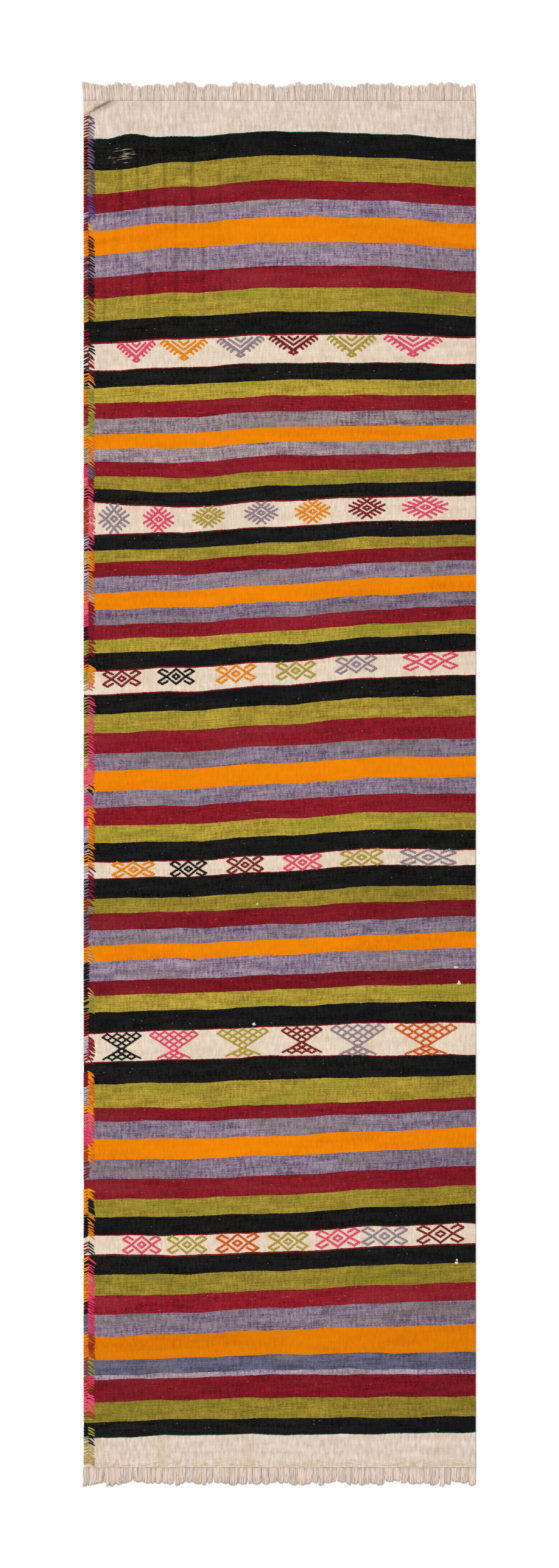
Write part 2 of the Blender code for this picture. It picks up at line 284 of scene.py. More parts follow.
# How far a stitch slants along the edge: the outer one up to where it ends, above the cloth and under
# it, and the inner one down from there over its own reach.
OUTER_REACH, OUTER_RISE, UNDER_FALL = 0.0105, 0.0036, 0.0022
INNER_START, INNER_REACH, INNER_FALL = 0.0095, 0.0125, 0.0076
STITCH_SHIFT = 0.0018

# The roll of yarn on the turned corner: its middle line starts this far across and down, and runs on
# across and back up. Then how many grains of yarn make the roll and each tuft.
KNOT_ACROSS, KNOT_DOWN = 0.006, 0.0230
KNOT_RUN, KNOT_RISE = 0.023, 0.0165
KNOT_GRAINS = 70
TUFT_GRAINS = 30

# The fringe: how narrow and how wide a lock is, how far its fuller corner reaches, how much of a
# strand is inside the cloth, and the heights of its lower layer and of the upper one above it.
LOCK_WIDTHS = (0.009, 0.019)
FRINGE_CORNER = 0.045
STRAND_ROOT = 0.0015
STRAND_HEIGHT = 0.00090
LAYER_HEIGHT = 0.0005

# The stage: the floor, the key light's softness and turns in degrees, and the camera's lens and film
# in millimetres.
FLOOR_SIZE = 16
FLOOR_GAP = 0.0002
KEY_SOFTNESS = 24
KEY_TURNS = (-30, -32, 0)
LENS = 100
FILM = 36
FAR = 60

UV = "Weave"


def linear(red, green, blue):
    """Scene-linear colour of a display colour given from 0 to 255."""
    return tuple(
        part / 255 / 12.92 if part <= 10 else ((part / 255 + 0.055) / 1.055) ** 2.4
        for part in (red, green, blue)
    )


# ---------------------------------------------------------------------------
# Settings that a user would change


def colour_property(name, description, *display):
    return bpy.props.FloatVectorProperty(
        name=name, description=description, subtype="COLOR", size=3, min=0.0, max=1.0,
        default=linear(*display),
    )


def share_property(name, description, default):
    return bpy.props.FloatProperty(
        name=name, description=description, default=default, min=0.0, max=1.0, subtype="FACTOR"
    )


def length_property(name, description, default, low, high):
    return bpy.props.FloatProperty(
        name=name, description=description, default=default, min=low, max=high, unit="LENGTH"
    )


def strength_property(name, description, default):
    return bpy.props.FloatProperty(name=name, description=description, default=default, min=0.0)


class RugYarns(bpy.types.PropertyGroup):
    """Dye colours of the yarns."""

    cream: colour_property("Cream", "Light fibres of the ground bands", 248, 232, 214)
    cream_shade: colour_property("Cream shade", "Dark fibres of the ground bands", 218, 194, 166)
    end_cream: colour_property("End cream", "Light fibres of the end bands", 243, 228, 215)
    end_shade: colour_property("End shade", "Dark fibres of the end bands", 209, 187, 168)
    warp: colour_property("Warp", "Undyed wool of the fringe", 239, 219, 205)
    black: colour_property("Black", "Light fibres of the black wool", 36, 35, 33)
    olive: colour_property("Olive", "Olive wool", 168, 141, 42)
    olive_light: colour_property("Light olive", "Light fibres of the olive wool", 202, 174, 68)
    olive_green: colour_property("Green olive", "Greener lots of the olive wool", 146, 140, 42)
    burgundy: colour_property("Burgundy", "Burgundy wool", 136, 25, 37)
    lavender: colour_property("Lavender", "Light strand of the lavender heather", 188, 167, 184)
    indigo: colour_property("Indigo", "Dark strand of the lavender heather", 98, 79, 110)
    orange: colour_property("Orange", "Orange wool", 243, 136, 1)
    pink: colour_property("Pink", "Pink wool", 222, 58, 102)
    salmon: colour_property("Salmon", "Faded pink wool", 232, 98, 110)
    rust: colour_property("Rust", "Rust wool", 172, 66, 38)
    straw: colour_property("Straw", "Straw wool", 190, 162, 100)
    slate: colour_property("Slate", "Slate wool", 98, 96, 118)
    roughness: share_property("Roughness", "Roughness of the wool", 0.9)
    sheen: share_property("Sheen", "Soft light that the wool's fuzz catches", 0.02)


class RugWeave(bpy.types.PropertyGroup):
    """Sizes of the woven cloth and its yarns."""

    rib_height: length_property(
        "Rib height", "Height of a warp rib above the valley beside it", 0.00036, 0.0, 0.002
    )
    cockle: length_property(
        "Cockle", "How far the cloth lifts off the floor between its low places", 0.0009, 0.0, 0.003
    )
    brocade_row: length_property(
        "Brocade row", "Height of one row of brocading yarn", 0.0019, 0.001, 0.005
    )
    brocade_line: length_property(
        "Brocade line", "Width of the lines that draw a figure", 0.0041, 0.001, 0.01
    )
    overcast_open: length_property(
        "Open stitches", "Distance between stitches in an open run", 0.0061, 0.002, 0.02
    )
    overcast_close: length_property(
        "Close stitches", "Distance between stitches in a close run", 0.0034, 0.002, 0.02
    )
    fringe_strands: bpy.props.IntProperty(
        name="Fringe strands", description="Strands in each fringe", default=860, min=100, max=1500
    )


class RugStage(bpy.types.PropertyGroup):
    """Floor, light and camera."""

    floor: colour_property("Floor", "Colour of the floor", 255, 255, 255)
    key: strength_property("Key light", "Strength of the soft key light", 1.95)
    sky: strength_property("Ambient light", "Strength of the light from all round", 0.56)
    height: length_property(
        "Camera height", "Height of the camera above the floor", 8.889, 1.0, 50.0
    )


# ---------------------------------------------------------------------------
# How the cloth lies


def smooth_step(share):
    """A soft step from 0 to 1."""
    share = np.clip(share, 0.0, 1.0)
    return share * share * (3 - 2 * share)


def drift_at(x, pick):
    """Picks that the weft stands above its height at the middle, for arrays of x and pick."""
    x, pick = np.broadcast_arrays(np.asarray(x, float), np.asarray(pick, float))
    table = np.array(DRIFT, float)
    read = np.clip(pick, table[0, 0], table[-1, 0])
    stations = [np.interp(read, table[:, 0], column) for column in table[:, 1:].T]
    stations.insert(2, np.zeros_like(read))
    stations = np.stack(stations)
    share = np.clip(x / WIDTH + 0.5, 0.0, 1.0) * 4
    cell = np.minimum(share.astype(int), 3)
    before = np.take_along_axis(stations, cell[None], 0)[0]
    after = np.take_along_axis(stations, cell[None] + 1, 0)[0]
    lift = before + (after - before) * smooth_step(share - cell)
    for at_pick, from_edge, height, across, along in RIPPLES:
        near = ((x + WIDTH / 2 - from_edge) / across) ** 2 + ((pick - at_pick) / along) ** 2
        lift = lift + height * np.exp(-near)
    return lift


def weft_y(x, pick):
    """Y of a pick at x."""
    return CLOTH_TOP_Y - (pick - drift_at(x, pick)) * WEFT_PICK


def corner_place(x, y):
    """Places near the turned corner as shares of the fold's reach across and down."""
    return (x + WIDTH / 2) / CORNER_ACROSS, (CLOTH_TOP_Y - y) / CORNER_DOWN


def corner_lift(x, y):
    """Height of the turned corner, and its knotted lumps, above the cloth beside it."""
    across, down = corner_place(x, y)
    fold = smooth_step((1.0 - across - down) / 0.16 + 0.5)
    lumps = np.zeros_like(fold)
    for at_x, at_y, size, height in KNOT_LUMPS:
        near = ((x + WIDTH / 2 - at_x) ** 2 + (CLOTH_TOP_Y - y - at_y) ** 2) / size**2
        lumps = lumps + height * np.exp(-near)
    return CORNER_HEIGHT * fold + lumps


def creases(x, y):
    """How much the cloth is creased along the warp, from 0 to 1, and the creases' rise and fall.

    The creases are strong near the overcast edge at the upper end and faint down the rest of the
    upper half. The selvedge itself lies flat.
    """
    creased = smooth_step((-x - 0.05) / 0.14) * smooth_step((y - 0.86) / 0.22)
    faint = 0.15 * (1 - creased) * smooth_step((y - 0.2) / 0.6) * (x < WIDTH / 2)
    wander = 0.004 * np.sin(9.0 * y) + 0.003 * np.sin(23.0 * y + 1.0)
    crease = (
        np.sin((x + wander) * 215.0) + 0.7 * np.sin((x - wander) * 347.0 + 2.0)
        + 0.5 * np.sin(x * 123.0 + y * 6.0)
    ) / 1.3
    return creased + faint, crease


def corner_shadow(x, y):
    """Painted shadow beside the fold of the turned corner, and painted shade along the fold and in a
    hollow of the corner.
    """
    across, down = corner_place(x, y)
    past = across + down - 1.0
    core = np.exp(-((past - 0.06) / 0.09) ** 2) * smooth_step((across - 0.30) / 0.3)
    wide = np.exp(-((past - 0.25) / 0.24) ** 2) * smooth_step((across - 0.25) / 0.5)
    hollow = np.exp(-(((across - 0.40) / 0.09) ** 2 + ((down - 0.42) / 0.16) ** 2))
    end = smooth_step((1.6 - across) / 0.6)
    return 1 - (0.46 * core + 0.26 * wide) * end - 0.36 * hollow


def lie(x, y):
    """Height of the cloth's underside above the floor: cockle, creases and the turned corner."""
    cockle = bpy.context.scene.rug_weave.cockle
    swell = (
        np.sin(7.3 * x + 4.1 * y + 0.6)
        + np.sin(-9.7 * x + 6.2 * y + 2.1)
        + 0.8 * np.sin(17.0 * x - 5.3 * y + 4.0)
        + 0.6 * np.sin(11.0 * x + 15.0 * y + 1.0)
        + 0.4 * np.sin(31.0 * x + 9.0 * y)
    )
    height = cockle * 0.5 * (1 + swell / 3.8)
    creased, crease = creases(x, y)
    height = height + 0.00032 * creased * (1.8 + crease)
    return height + corner_lift(x, y)


def edge_line(pick, seed):
    """Y of one line of weft at every rib line, with the small steps and waves of hand weaving."""
    dice = np.random.default_rng(1000 + seed)
    x = RIB_LINES
    if pick in (0, CLOTH_PICKS):
        return np.full_like(x, weft_y(0.0, pick))
    wave = np.zeros_like(x)
    for length, height in ((0.31, 0.7), (0.17, 0.75), (0.095, 0.6), (0.045, 0.28)):
        turn = 2 * math.pi * (x / length + dice.random())
        wave += height * (0.4 + 0.6 * dice.random()) * np.sin(turn)
    steps = np.repeat(dice.normal(0.0, 0.22, RIBS), 2)
    steps = np.append(steps, steps[-1])
    return weft_y(x, pick + wave + steps)


# ---------------------------------------------------------------------------
# Meshes


def new_piece(name, points, faces, material):
    """An object of quads, or of triangles, from arrays."""
    mesh = bpy.data.meshes.new(name)
    sides = faces.shape[1]
    mesh.vertices.add(len(points))
    mesh.vertices.foreach_set("co", points.astype(np.float32).ravel())
    mesh.loops.add(faces.size)
    mesh.loops.foreach_set("vertex_index", faces.astype(np.int32).ravel())
    mesh.polygons.add(len(faces))
    mesh.polygons.foreach_set("loop_start", np.arange(0, faces.size, sides, dtype=np.int32))
    mesh.update(calc_edges=True)
    mesh.polygons.foreach_set("use_smooth", np.ones(len(faces), bool))
    mesh.materials.append(material)
    piece = bpy.data.objects.new(name, mesh)
    bpy.context.scene.collection.objects.link(piece)
    return piece


def grid_faces(rows, columns, offset, turned):
    """Quads between rows and columns of points."""
    index = offset + np.arange(rows * columns).reshape(rows, columns)
    a, b, c, d = index[:-1, :-1], index[1:, :-1], index[1:, 1:], index[:-1, 1:]
    order = (a, d, c, b) if turned else (a, b, c, d)
    return np.stack([corner.ravel() for corner in order], 1)


def rim_faces(rows, columns):
    """Quads that close the upper face of a sheet to its lower face all the way round."""
    upper = np.arange(rows * columns).reshape(rows, columns)
    around = np.concatenate([
        upper[:-1, 0], upper[-1, :-1], upper[::-1, -1][:-1], upper[0, ::-1][:-1],
    ])
    after = np.roll(around, -1)
    below = rows * columns
    return np.stack([after, around, around + below, after + below], 1)


def put_points(mesh, name, values):
    """A value at every point, for a wool to read."""
    attribute = mesh.attributes.new(name, "FLOAT", "POINT")
    attribute.data.foreach_set("value", values.astype(np.float32).ravel())


def put_uv(mesh, across, along):
    """The weave map: metres across the cloth, and metres down it along the warp."""
    layer = mesh.uv_layers.new(name=UV)
    corners = np.empty(len(mesh.loops), np.int32)
    mesh.loops.foreach_get("vertex_index", corners)
    places = np.stack([across.ravel()[corners], along.ravel()[corners]], 1)
    layer.data.foreach_set("uv", places.astype(np.float32).ravel())


def sun_fade(x, pick, share):
    """How much lighter or darker the dye has worn at a place: smooth along and across."""
    across = x / WIDTH + 0.5
    fade = 0.035 - 0.13 * smooth_step((across - 0.60) / 0.34)
    ripple = np.sin(6.5 * across + pick * 0.011) + np.sin(11.0 * across - pick * 0.023 + 2.0)
    return 1 + (fade + 0.02 * ripple) * share


def crease_shade(x, y):
    """Shade in the hollows of the creases."""
    creased, crease = creases(x, y)
    return 1 - 0.29 * creased * smooth_step((-crease - 0.15) / 1.2)


def shade_share(material):
    """How much of the fading and of the creases' shade a wool shows."""
    for yarn, share in (("cream", 0.15), ("orange", 0.3)):
        if yarn in material.name:
            return share
    return 1.0


def near_fold(upper, lower):
    """Whether a stretch of cloth between two lines of weft has to bend."""
    return any(
        lower.min() < y + turn + TURN_MARGIN and upper.max() > y - turn - TURN_MARGIN
        for y, turn in ((FOLD_TOP_Y, TOP_TURN), (FOLD_BOTTOM_Y, BOTTOM_TURN))
    )


def weave_sheet(name, upper, lower, first_pick, last_pick, tone, material):
    """One stretch of cloth between two lines of weft, ribbed on both faces and closed all round."""
    depth = float((upper - lower).max())
    pitch = FOLD_ROW_PITCH if near_fold(upper, lower) or first_pick == 0 else ROW_PITCH
    rows = max(2, math.ceil(depth / pitch) + 1)
    share = np.linspace(0.0, 1.0, rows)[:, None]
    y = (upper - GAP / 8) + ((lower + GAP / 8) - (upper - GAP / 8)) * share
    x = np.broadcast_to(RIB_LINES, y.shape).copy()
    columns = x.shape[1]
    pick = first_pick + (last_pick - first_pick) * share + np.zeros_like(x)

    overcast = (y < OVERCAST_TOP_Y) & (y > OVERCAST_TOP_Y - OVERCAST_LENGTH)
    pressed = 1 - smooth_step((x + WIDTH / 2 - OVERCAST_WIDTH + 0.001) / 0.003)
    pressed = pressed * overcast
    valley = 1 - np.broadcast_to(CROWNS, y.shape)
    top = THICKNESS - bpy.context.scene.rug_weave.rib_height * valley - PRESSED_ABOVE * pressed
    bottom = UNDER_RIB_HEIGHT * valley + PRESSED_BELOW * pressed
    middle = (top + bottom) / 2
    rim = 0.55 + 0.45 * np.clip((WIDTH / 2 - np.abs(x)) / RIM, 0.0, 1.0) ** 0.5
    height = lie(x, y)
    x[:, 0] += EDGE_DRAWN_IN * overcast[:, 0]
    faces = np.concatenate([
        grid_faces(rows, columns, 0, False),
        grid_faces(rows, columns, rows * columns, True),
        rim_faces(rows, columns),
    ])
    points = [
        np.stack([x, y, height + (middle + (face - middle) * rim)], -1).reshape(-1, 3)
        for face in (top, bottom)
    ]
    piece = new_piece(name, np.concatenate(points), faces, material)
    put_uv(piece.data, np.tile(x + WIDTH / 2, (2, 1)), np.tile(pick * WEFT_PICK, (2, 1)))
    piece.data.set_sharp_from_angle(angle=math.radians(60))
    # The shade attribute mixes the dye's real fading and tone with painted shadow beside the turned corner
    # and painted shade in the creases' hollows.
    shown = shade_share(material)
    creased = 1 + (crease_shade(x, y) - 1) * shown
    shade = sun_fade(x, pick, shown) * corner_shadow(x, y) * creased * TONE_STEP**tone
    put_points(piece.data, "shade", np.tile(shade, (2, 1)))
    return piece


def carry(piece):
    """Lets a piece ride on its panel; a piece that crosses a fold keeps its transform baked and rides on
    none.
    """
    points = np.empty(len(piece.data.vertices) * 3, np.float32)
    piece.data.vertices.foreach_get("co", points)
    low, high = points[1::3].min(), points[1::3].max()
    if low > FOLD_TOP_Y + TOP_TURN:
        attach(piece, "panel_top")
    elif high < FOLD_BOTTOM_Y - BOTTOM_TURN:
        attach(piece, "panel_bottom")
    elif high > FOLD_TOP_Y - TOP_TURN:
        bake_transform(piece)
    elif low < FOLD_BOTTOM_Y + BOTTOM_TURN:
        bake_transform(piece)
    else:
        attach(piece, "panel_middle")
    return piece


def nodes_between(stem, first_pick, last_pick):
    """CAD nodes that a stretch of cloth stands for: its own, or both halves where a fold cuts it."""
    names = [node for node in frame["nodes"] if node == stem or node.startswith(stem + "_")]
    upper, lower = weft_y(0.0, first_pick), weft_y(0.0, last_pick)
    return [
        name for name in names
        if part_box(name)[0].y < upper - 0.0005 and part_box(name)[1].y > lower + 0.0005
    ]


# ---------------------------------------------------------------------------
# Wool


class Recipe:
    """Adds nodes to one material and joins them."""

    def __init__(self, name):
        self.material = bpy.data.materials.new(name)
        self.material.use_nodes = True
        self.tree = self.material.node_tree
        self.shader = self.tree.nodes["Principled BSDF"]

    def feed(self, source, socket):
        """Links a source to a socket, or sets the socket to a constant."""
        if isinstance(source, bpy.types.NodeSocket):
            self.tree.links.new(source, socket)
        else:
            socket.default_value = source

    def add(self, kind, *sources, out=0, **settings):
        node = self.tree.nodes.new(kind)
        for key, value in settings.items():
            setattr(node, key, value)
        for source, socket in zip(sources, node.inputs):
            self.feed(source, socket)
        return node.outputs[out]

    def math(self, operation, *sources):
        return self.add("ShaderNodeMath", *sources, operation=operation)

    def plus(self, one, other):
        return self.math("ADD", one, other)

    def less(self, one, other):
        return self.math("SUBTRACT", one, other)

    def times(self, one, other):
        return self.math("MULTIPLY", one, other)

    def over(self, one, other):
        return self.math("DIVIDE", one, other)

    def wave(self, count):
        """Rises from 0 to 1 and falls back once in each whole count."""
        return self.math("ABSOLUTE", self.math("SINE", self.times(count, math.pi)))

    def vector(self, x, y, z):
        return self.add("ShaderNodeCombineXYZ", x, y, z)

    def attribute(self, name):
        return self.add("ShaderNodeAttribute", out="Fac", attribute_name=name)

    def noise(self, where, scale, detail):
        node = self.tree.nodes.new("ShaderNodeTexNoise")
        self.tree.links.new(where, node.inputs["Vector"])
        node.inputs["Scale"].default_value = scale
        node.inputs["Detail"].default_value = detail
        return node.outputs[0]

    def grains(self, across, crowd, along, row_crowd, seed, detail=2.0):
        """Noise with its own number of grains to a measure across the cloth and along it."""
        where = self.vector(self.times(across, crowd), self.times(along, row_crowd), seed)
        return self.noise(where, 1.0, detail)

    def spread(self, value, low, high, to_low=0.0, to_high=1.0):
        return self.add(
            "ShaderNodeMapRange", value, low, high, to_low, to_high, clamp=True
        )

    def mix(self, share, first, second, blend="MIX"):
        node = self.tree.nodes.new("ShaderNodeMix")
        node.data_type = "RGBA"
        node.blend_type = blend
        self.feed(share, node.inputs[0])
        for colour, socket in ((first, node.inputs[6]), (second, node.inputs[7])):
            joined = isinstance(colour, bpy.types.NodeSocket)
            self.feed(colour if joined else (*colour, 1), socket)
        return node.outputs[2]

    def shaded(self, colour, light):
        grey = self.add("ShaderNodeCombineColor", light, light, light)
        return self.mix(1.0, colour, grey, "MULTIPLY")

    def finish(self, colour, height, depth):
        yarns = bpy.context.scene.rug_yarns
        self.tree.links.new(colour, self.shader.inputs["Base Color"])
        bump = self.tree.nodes.new("ShaderNodeBump")
        bump.inputs["Strength"].default_value = 1.0
        bump.inputs["Distance"].default_value = depth
        self.tree.links.new(height, bump.inputs["Height"])
        self.tree.links.new(bump.outputs[0], self.shader.inputs["Normal"])
        self.shader.inputs["Roughness"].default_value = yarns.roughness
        self.shader.inputs["Sheen Weight"].default_value = yarns.sheen
        self.shader.inputs["Sheen Roughness"].default_value = 0.5
        self.shader.inputs["Specular IOR Level"].default_value = 0.06
        return self.material


def scaled(colour, by):
    return tuple(min(1.0, part * by) for part in colour)

def woven_wool(name, dark, light, second=None, grain=0.6, streak=0.5, patch=0.5, rows=0.5,
               valley=0.14, fleck=None, fleck_share=0.0, threads=0.0, worn=False, smudge=None,
               yellowed=False):
    """Weft-faced wool: beads of weft over the ribs, each pick with its own tone along its length."""
    mix = Recipe(name)
    seed = float(sum(map(ord, name)) % 97)
    apart = mix.tree.nodes.new("ShaderNodeSeparateXYZ")
    mix.tree.links.new(mix.add("ShaderNodeUVMap", uv_map=UV), apart.inputs[0])
    across, along = apart.outputs[0], apart.outputs[1]
    rib = mix.over(across, WARP_RIB)
    pick = mix.over(along, WEFT_PICK)
    odd = mix.math("MODULO", mix.math("FLOOR", rib), 2.0)
    bead = mix.times(mix.plus(pick, odd), 0.5)

    # Tone: along one pick, fibre by fibre, in patches of cloth, and in short lengths down the ribs.
    tone = 0.5
    for source, share in (
        (mix.grains(rib, 0.055, pick, 0.62, seed), streak),
        (mix.grains(rib, 0.85, pick, 0.42, seed), grain),
        (mix.grains(across, 13.0, along, 75.0, seed), patch),
        (mix.grains(rib, 0.62, along, 52.0, seed + 7, 1.0), rows),
    ):
        tone = mix.plus(mix.times(mix.less(source, 0.5), share * 2.2), tone)
    tone = mix.spread(tone, 0.0, 1.0)
    colour = mix.mix(tone, dark, light)

    if second is not None:
        # Yarn from a second lot of dye.
        zone = mix.grains(across, 4.0, along, 26.0, seed + 9)
        other = mix.mix(tone, scaled(second, 0.72), scaled(second, 1.28))
        colour = mix.mix(mix.spread(zone, 0.46, 0.70, 0.0, 0.75), colour, other)
    if fleck is not None:
        # Flecks about a rib wide and a pick tall.
        cell = mix.vector(
            mix.math("FLOOR", mix.times(rib, 1.3)), mix.math("FLOOR", mix.times(pick, 0.8)),
            seed + 31,
        )
        chance = mix.add("ShaderNodeTexWhiteNoise", cell, noise_dimensions="3D")
        crowd = mix.noise(mix.vector(mix.times(across, 14.0), along, seed + 3), 8.0, 2.0)
        chance = mix.plus(chance, mix.times(crowd, 0.01))
        lucky = mix.math("GREATER_THAN", chance, 1.005 - fleck_share)
        colour = mix.mix(mix.times(lucky, 0.7), colour, fleck)
    if threads:
        # Lone pale fibres spun into the weft, a few ribs long.
        thread = mix.grains(rib, 0.11, pick, 0.95, seed + 17, 1.0)
        colour = mix.mix(mix.spread(thread, 0.70, 0.80, 0.0, threads), colour, fleck)
    if worn:
        # A rubbed place where the pale warp shows between broken picks.
        off = mix.over(mix.less(across, WORN_ACROSS), WORN_WIDTH)
        far = mix.over(mix.less(along, WORN_DOWN), WORN_DEPTH)
        near = mix.plus(mix.math("POWER", off, 2.0), mix.math("POWER", far, 2.0))
        torn = mix.grains(rib, 0.16, pick, 0.55, 4.0, 3.0)
        bare = mix.spread(mix.less(torn, mix.times(near, 0.10)), 0.50, 0.60)
        colour = mix.mix(mix.times(bare, 0.65), colour, linear(188, 170, 146))
    if smudge is not None:
        # Broad stains that follow the ribs.
        stain = mix.grains(across, 34.0, along, 5.0, seed + 5, 3.0)
        colour = mix.mix(mix.spread(stain, 0.52, 0.74, 0.0, 0.55), colour, smudge)
    if yellowed:
        # Short golden picks in the last rows before the lower fringe.
        dash = mix.grains(rib, 0.22, pick, 0.45, 8.0)
        last = mix.spread(along, YELLOWED_FROM, YELLOWED_TO)
        gold = mix.spread(mix.plus(dash, mix.times(last, 0.10)), 0.62, 0.72)
        colour = mix.mix(mix.times(mix.times(gold, last), 0.7), colour, linear(196, 158, 104))

    # Light lost between ribs and between beads.
    swell = mix.wave(bead)
    hollow = mix.times(
        mix.spread(mix.wave(rib), 0.0, 0.8, valley, 0.0),
        mix.spread(mix.grains(rib, 0.21, along, 19.0, seed, 1.0), 0.35, 0.65, 0.2, 1.6),
    )
    lit = mix.times(mix.less(1.0, hollow), mix.spread(swell, 0.0, 0.6, 0.90, 1.0))
    # The shade attribute brings the dye's fading and tone, with painted shadow and painted crease shade,
    # from the cloth.
    colour = mix.shaded(colour, mix.times(lit, mix.attribute("shade")))
    fibre = mix.grains(rib, 2.0, pick, 1.5, seed)
    return mix.finish(colour, mix.plus(mix.times(swell, 0.6), mix.times(fibre, 0.5)), 0.00030)


def spun_wool(name, base, spread=0.22, tint=None):
    """Loose yarn that lies on the cloth: plied strands, each length a little lighter or darker."""
    mix = Recipe(name)
    place = mix.add("ShaderNodeTexCoord", out=3)
    ply = mix.noise(place, 900.0, 2.0)
    tone = mix.plus(mix.times(mix.noise(place, 160.0, 2.0), 0.6), mix.times(ply, 0.4))
    colour = mix.mix(
        mix.spread(tone, 0.32, 0.68), scaled(base, 1 - spread), scaled(base, 1 + spread)
    )
    if tint is not None:
        drift = mix.noise(place, 26.0, 2.0)
        colour = mix.mix(mix.spread(drift, 0.48, 0.64, 0.0, 0.7), colour, tint)
    return mix.finish(colour, ply, 0.00035)


def fringe_wool(name, base):
    """Undyed warp ends: creamy strands with grey, violet and yellow ones among them."""
    mix = Recipe(name)
    place = mix.add("ShaderNodeTexCoord", out=3)
    stretch = mix.add("ShaderNodeVectorMath", place, (700.0, 60.0, 500.0), operation="MULTIPLY")
    fibre = mix.noise(stretch, 1.0, 1.0)
    which = mix.attribute("strand")
    tone = mix.plus(mix.times(fibre, 0.6), mix.times(which, 0.4))
    colour = mix.mix(mix.spread(tone, 0.25, 0.75), scaled(base, 0.83), scaled(base, 1.11))
    broad = mix.noise(
        mix.add("ShaderNodeVectorMath", place, (60.0, 40.0, 0.0), operation="MULTIPLY"), 1.0, 1.0
    )
    colour = mix.mix(mix.spread(broad, 0.50, 0.70, 0.0, 0.5), colour, linear(214, 200, 194))
    grey = mix.math("GREATER_THAN", which, 0.94)
    gold = mix.math("LESS_THAN", which, 0.035)
    colour = mix.mix(mix.times(grey, 0.45), colour, linear(158, 148, 150))
    colour = mix.mix(mix.times(gold, 0.5), colour, linear(205, 185, 130))
    # The shade attribute paints shade between the locks and near the roots.
    return mix.finish(mix.shaded(colour, mix.attribute("shade")), fibre, 0.0002)


def once(name, maker, *details, **more):
    """A material made the first time it is asked for."""
    return bpy.data.materials.get(name) or maker(name, *details, **more)


def cloth_wool(yarn, place=""):
    """The wool of one stretch of cloth, or of one that is worn or greyer than the rest."""
    yarns = bpy.context.scene.rug_yarns

    def wool(dark, light, **more):
        return once("_".join(filter(None, ("woven", yarn, place))), woven_wool, dark, light, **more)

    if yarn == "cream":
        return wool(yarns.cream_shade, yarns.cream, grain=0.35, streak=0.25, patch=0.35, rows=0.6,
                    valley=0.05, smudge=linear(222, 196, 164))
    if yarn == "end_cream":
        return wool(yarns.end_shade, yarns.end_cream, grain=0.35, streak=0.2, patch=0.4, rows=0.8,
                    valley=0.05, smudge=linear(214, 184, 148), yellowed=True)
    if yarn == "black":
        return wool(linear(3, 3, 3), yarns.black, second=linear(19, 19, 26), grain=0.9, streak=0.6,
                    valley=0.12, worn=place == "worn", fleck=linear(140, 130, 122),
                    fleck_share=0.0007)
    if yarn == "olive":
        return wool(scaled(yarns.olive, 0.50), yarns.olive_light, second=yarns.olive_green,
                    streak=0.72, patch=0.34, rows=0.45)
    if yarn == "burgundy":
        return wool(scaled(yarns.burgundy, 0.50), scaled(yarns.burgundy, 1.52),
                    second=linear(146, 42, 50), grain=0.75, streak=0.55, patch=0.3,
                    fleck=linear(205, 120, 120), fleck_share=0.0010, threads=0.5)
    if yarn == "lavender":
        blue = 0.80 if place == "grey" else 1.0
        dark, light = [(*colour[:2], colour[2] * blue) for colour in (yarns.indigo, yarns.lavender)]
        return wool(dark, light, second=linear(150, 134, 132), grain=0.75, streak=0.70, rows=0.62,
                    fleck=linear(222, 214, 214), threads=0.5)
    if yarn == "slate":
        return wool(scaled(yarns.slate, 0.55), scaled(yarns.slate, 1.6),
                    second=linear(120, 112, 128), grain=0.8, streak=0.9, patch=0.8, rows=0.6)
    if yarn == "orange":
        return wool(scaled(yarns.orange, 0.90), scaled(yarns.orange, 1.10),
                    second=linear(238, 122, 2), grain=0.5, streak=0.3, patch=0.4, rows=0.6,
                    valley=0.05)
    if yarn == "edging":
        base = linear(124, 28, 32)
        return wool(scaled(base, 0.6), scaled(base, 1.3))
    if yarn == "green":
        return wool(linear(8, 54, 40), linear(18, 104, 76))
    raise RuntimeError(f"no cloth wool is called {yarn}")


# ---------------------------------------------------------------------------
# Brocaded figures


def both_sides(lines):
    """Lines and their mirror image across the figure."""
    return [*lines, *([(-u, v) for u, v in line] for line in lines)]


def four_ways(lines):
    """Lines mirrored across the figure and top to bottom."""
    halves = both_sides(lines)
    return [*halves, *([(u, 1 - v) for u, v in line] for line in halves)]


def triangle_lines():
    """A hanging triangle with comb teeth down both slopes and a small knot at its tip."""
    lines = [
        [(-0.37, 0.10), (0.0, 0.76), (0.37, 0.10)],
        [(-0.36, 0.15), (0.0, 0.81), (0.36, 0.15)],
        [(-0.25, 0.09), (0.0, 0.50), (0.25, 0.09)],
        [(-0.10, 0.08), (0.0, 0.25), (0.10, 0.08)],
        [(0.0, 0.79), (0.085, 0.90), (0.0, 0.985), (-0.085, 0.90), (0.0, 0.79)],
    ]
    return lines + both_sides([
        [(0.36, 0.09), (0.44, 0.05), (0.50, 0.19)],
        [(0.34, 0.20), (0.38, 0.21), (0.435, 0.30)],
        [(0.27, 0.33), (0.31, 0.34), (0.365, 0.44)],
        [(0.19, 0.47), (0.23, 0.48), (0.285, 0.58)],
        [(0.12, 0.60), (0.16, 0.61), (0.205, 0.71)],
    ])


def burr_lines():
    """A diamond ring with rays all round."""
    lines = [
        [(0.0, 0.2), (0.28, 0.5), (0.0, 0.8), (-0.28, 0.5), (0.0, 0.2)],
        [(0.0, 0.41), (0.11, 0.5), (0.0, 0.59), (-0.11, 0.5), (0.0, 0.41)],
    ]
    return lines + four_ways([
        [(0.0, 0.2), (0.14, 0.02)],
        [(0.09, 0.30), (0.25, 0.15)],
        [(0.18, 0.40), (0.38, 0.25)],
        [(0.28, 0.5), (0.50, 0.36)],
    ])


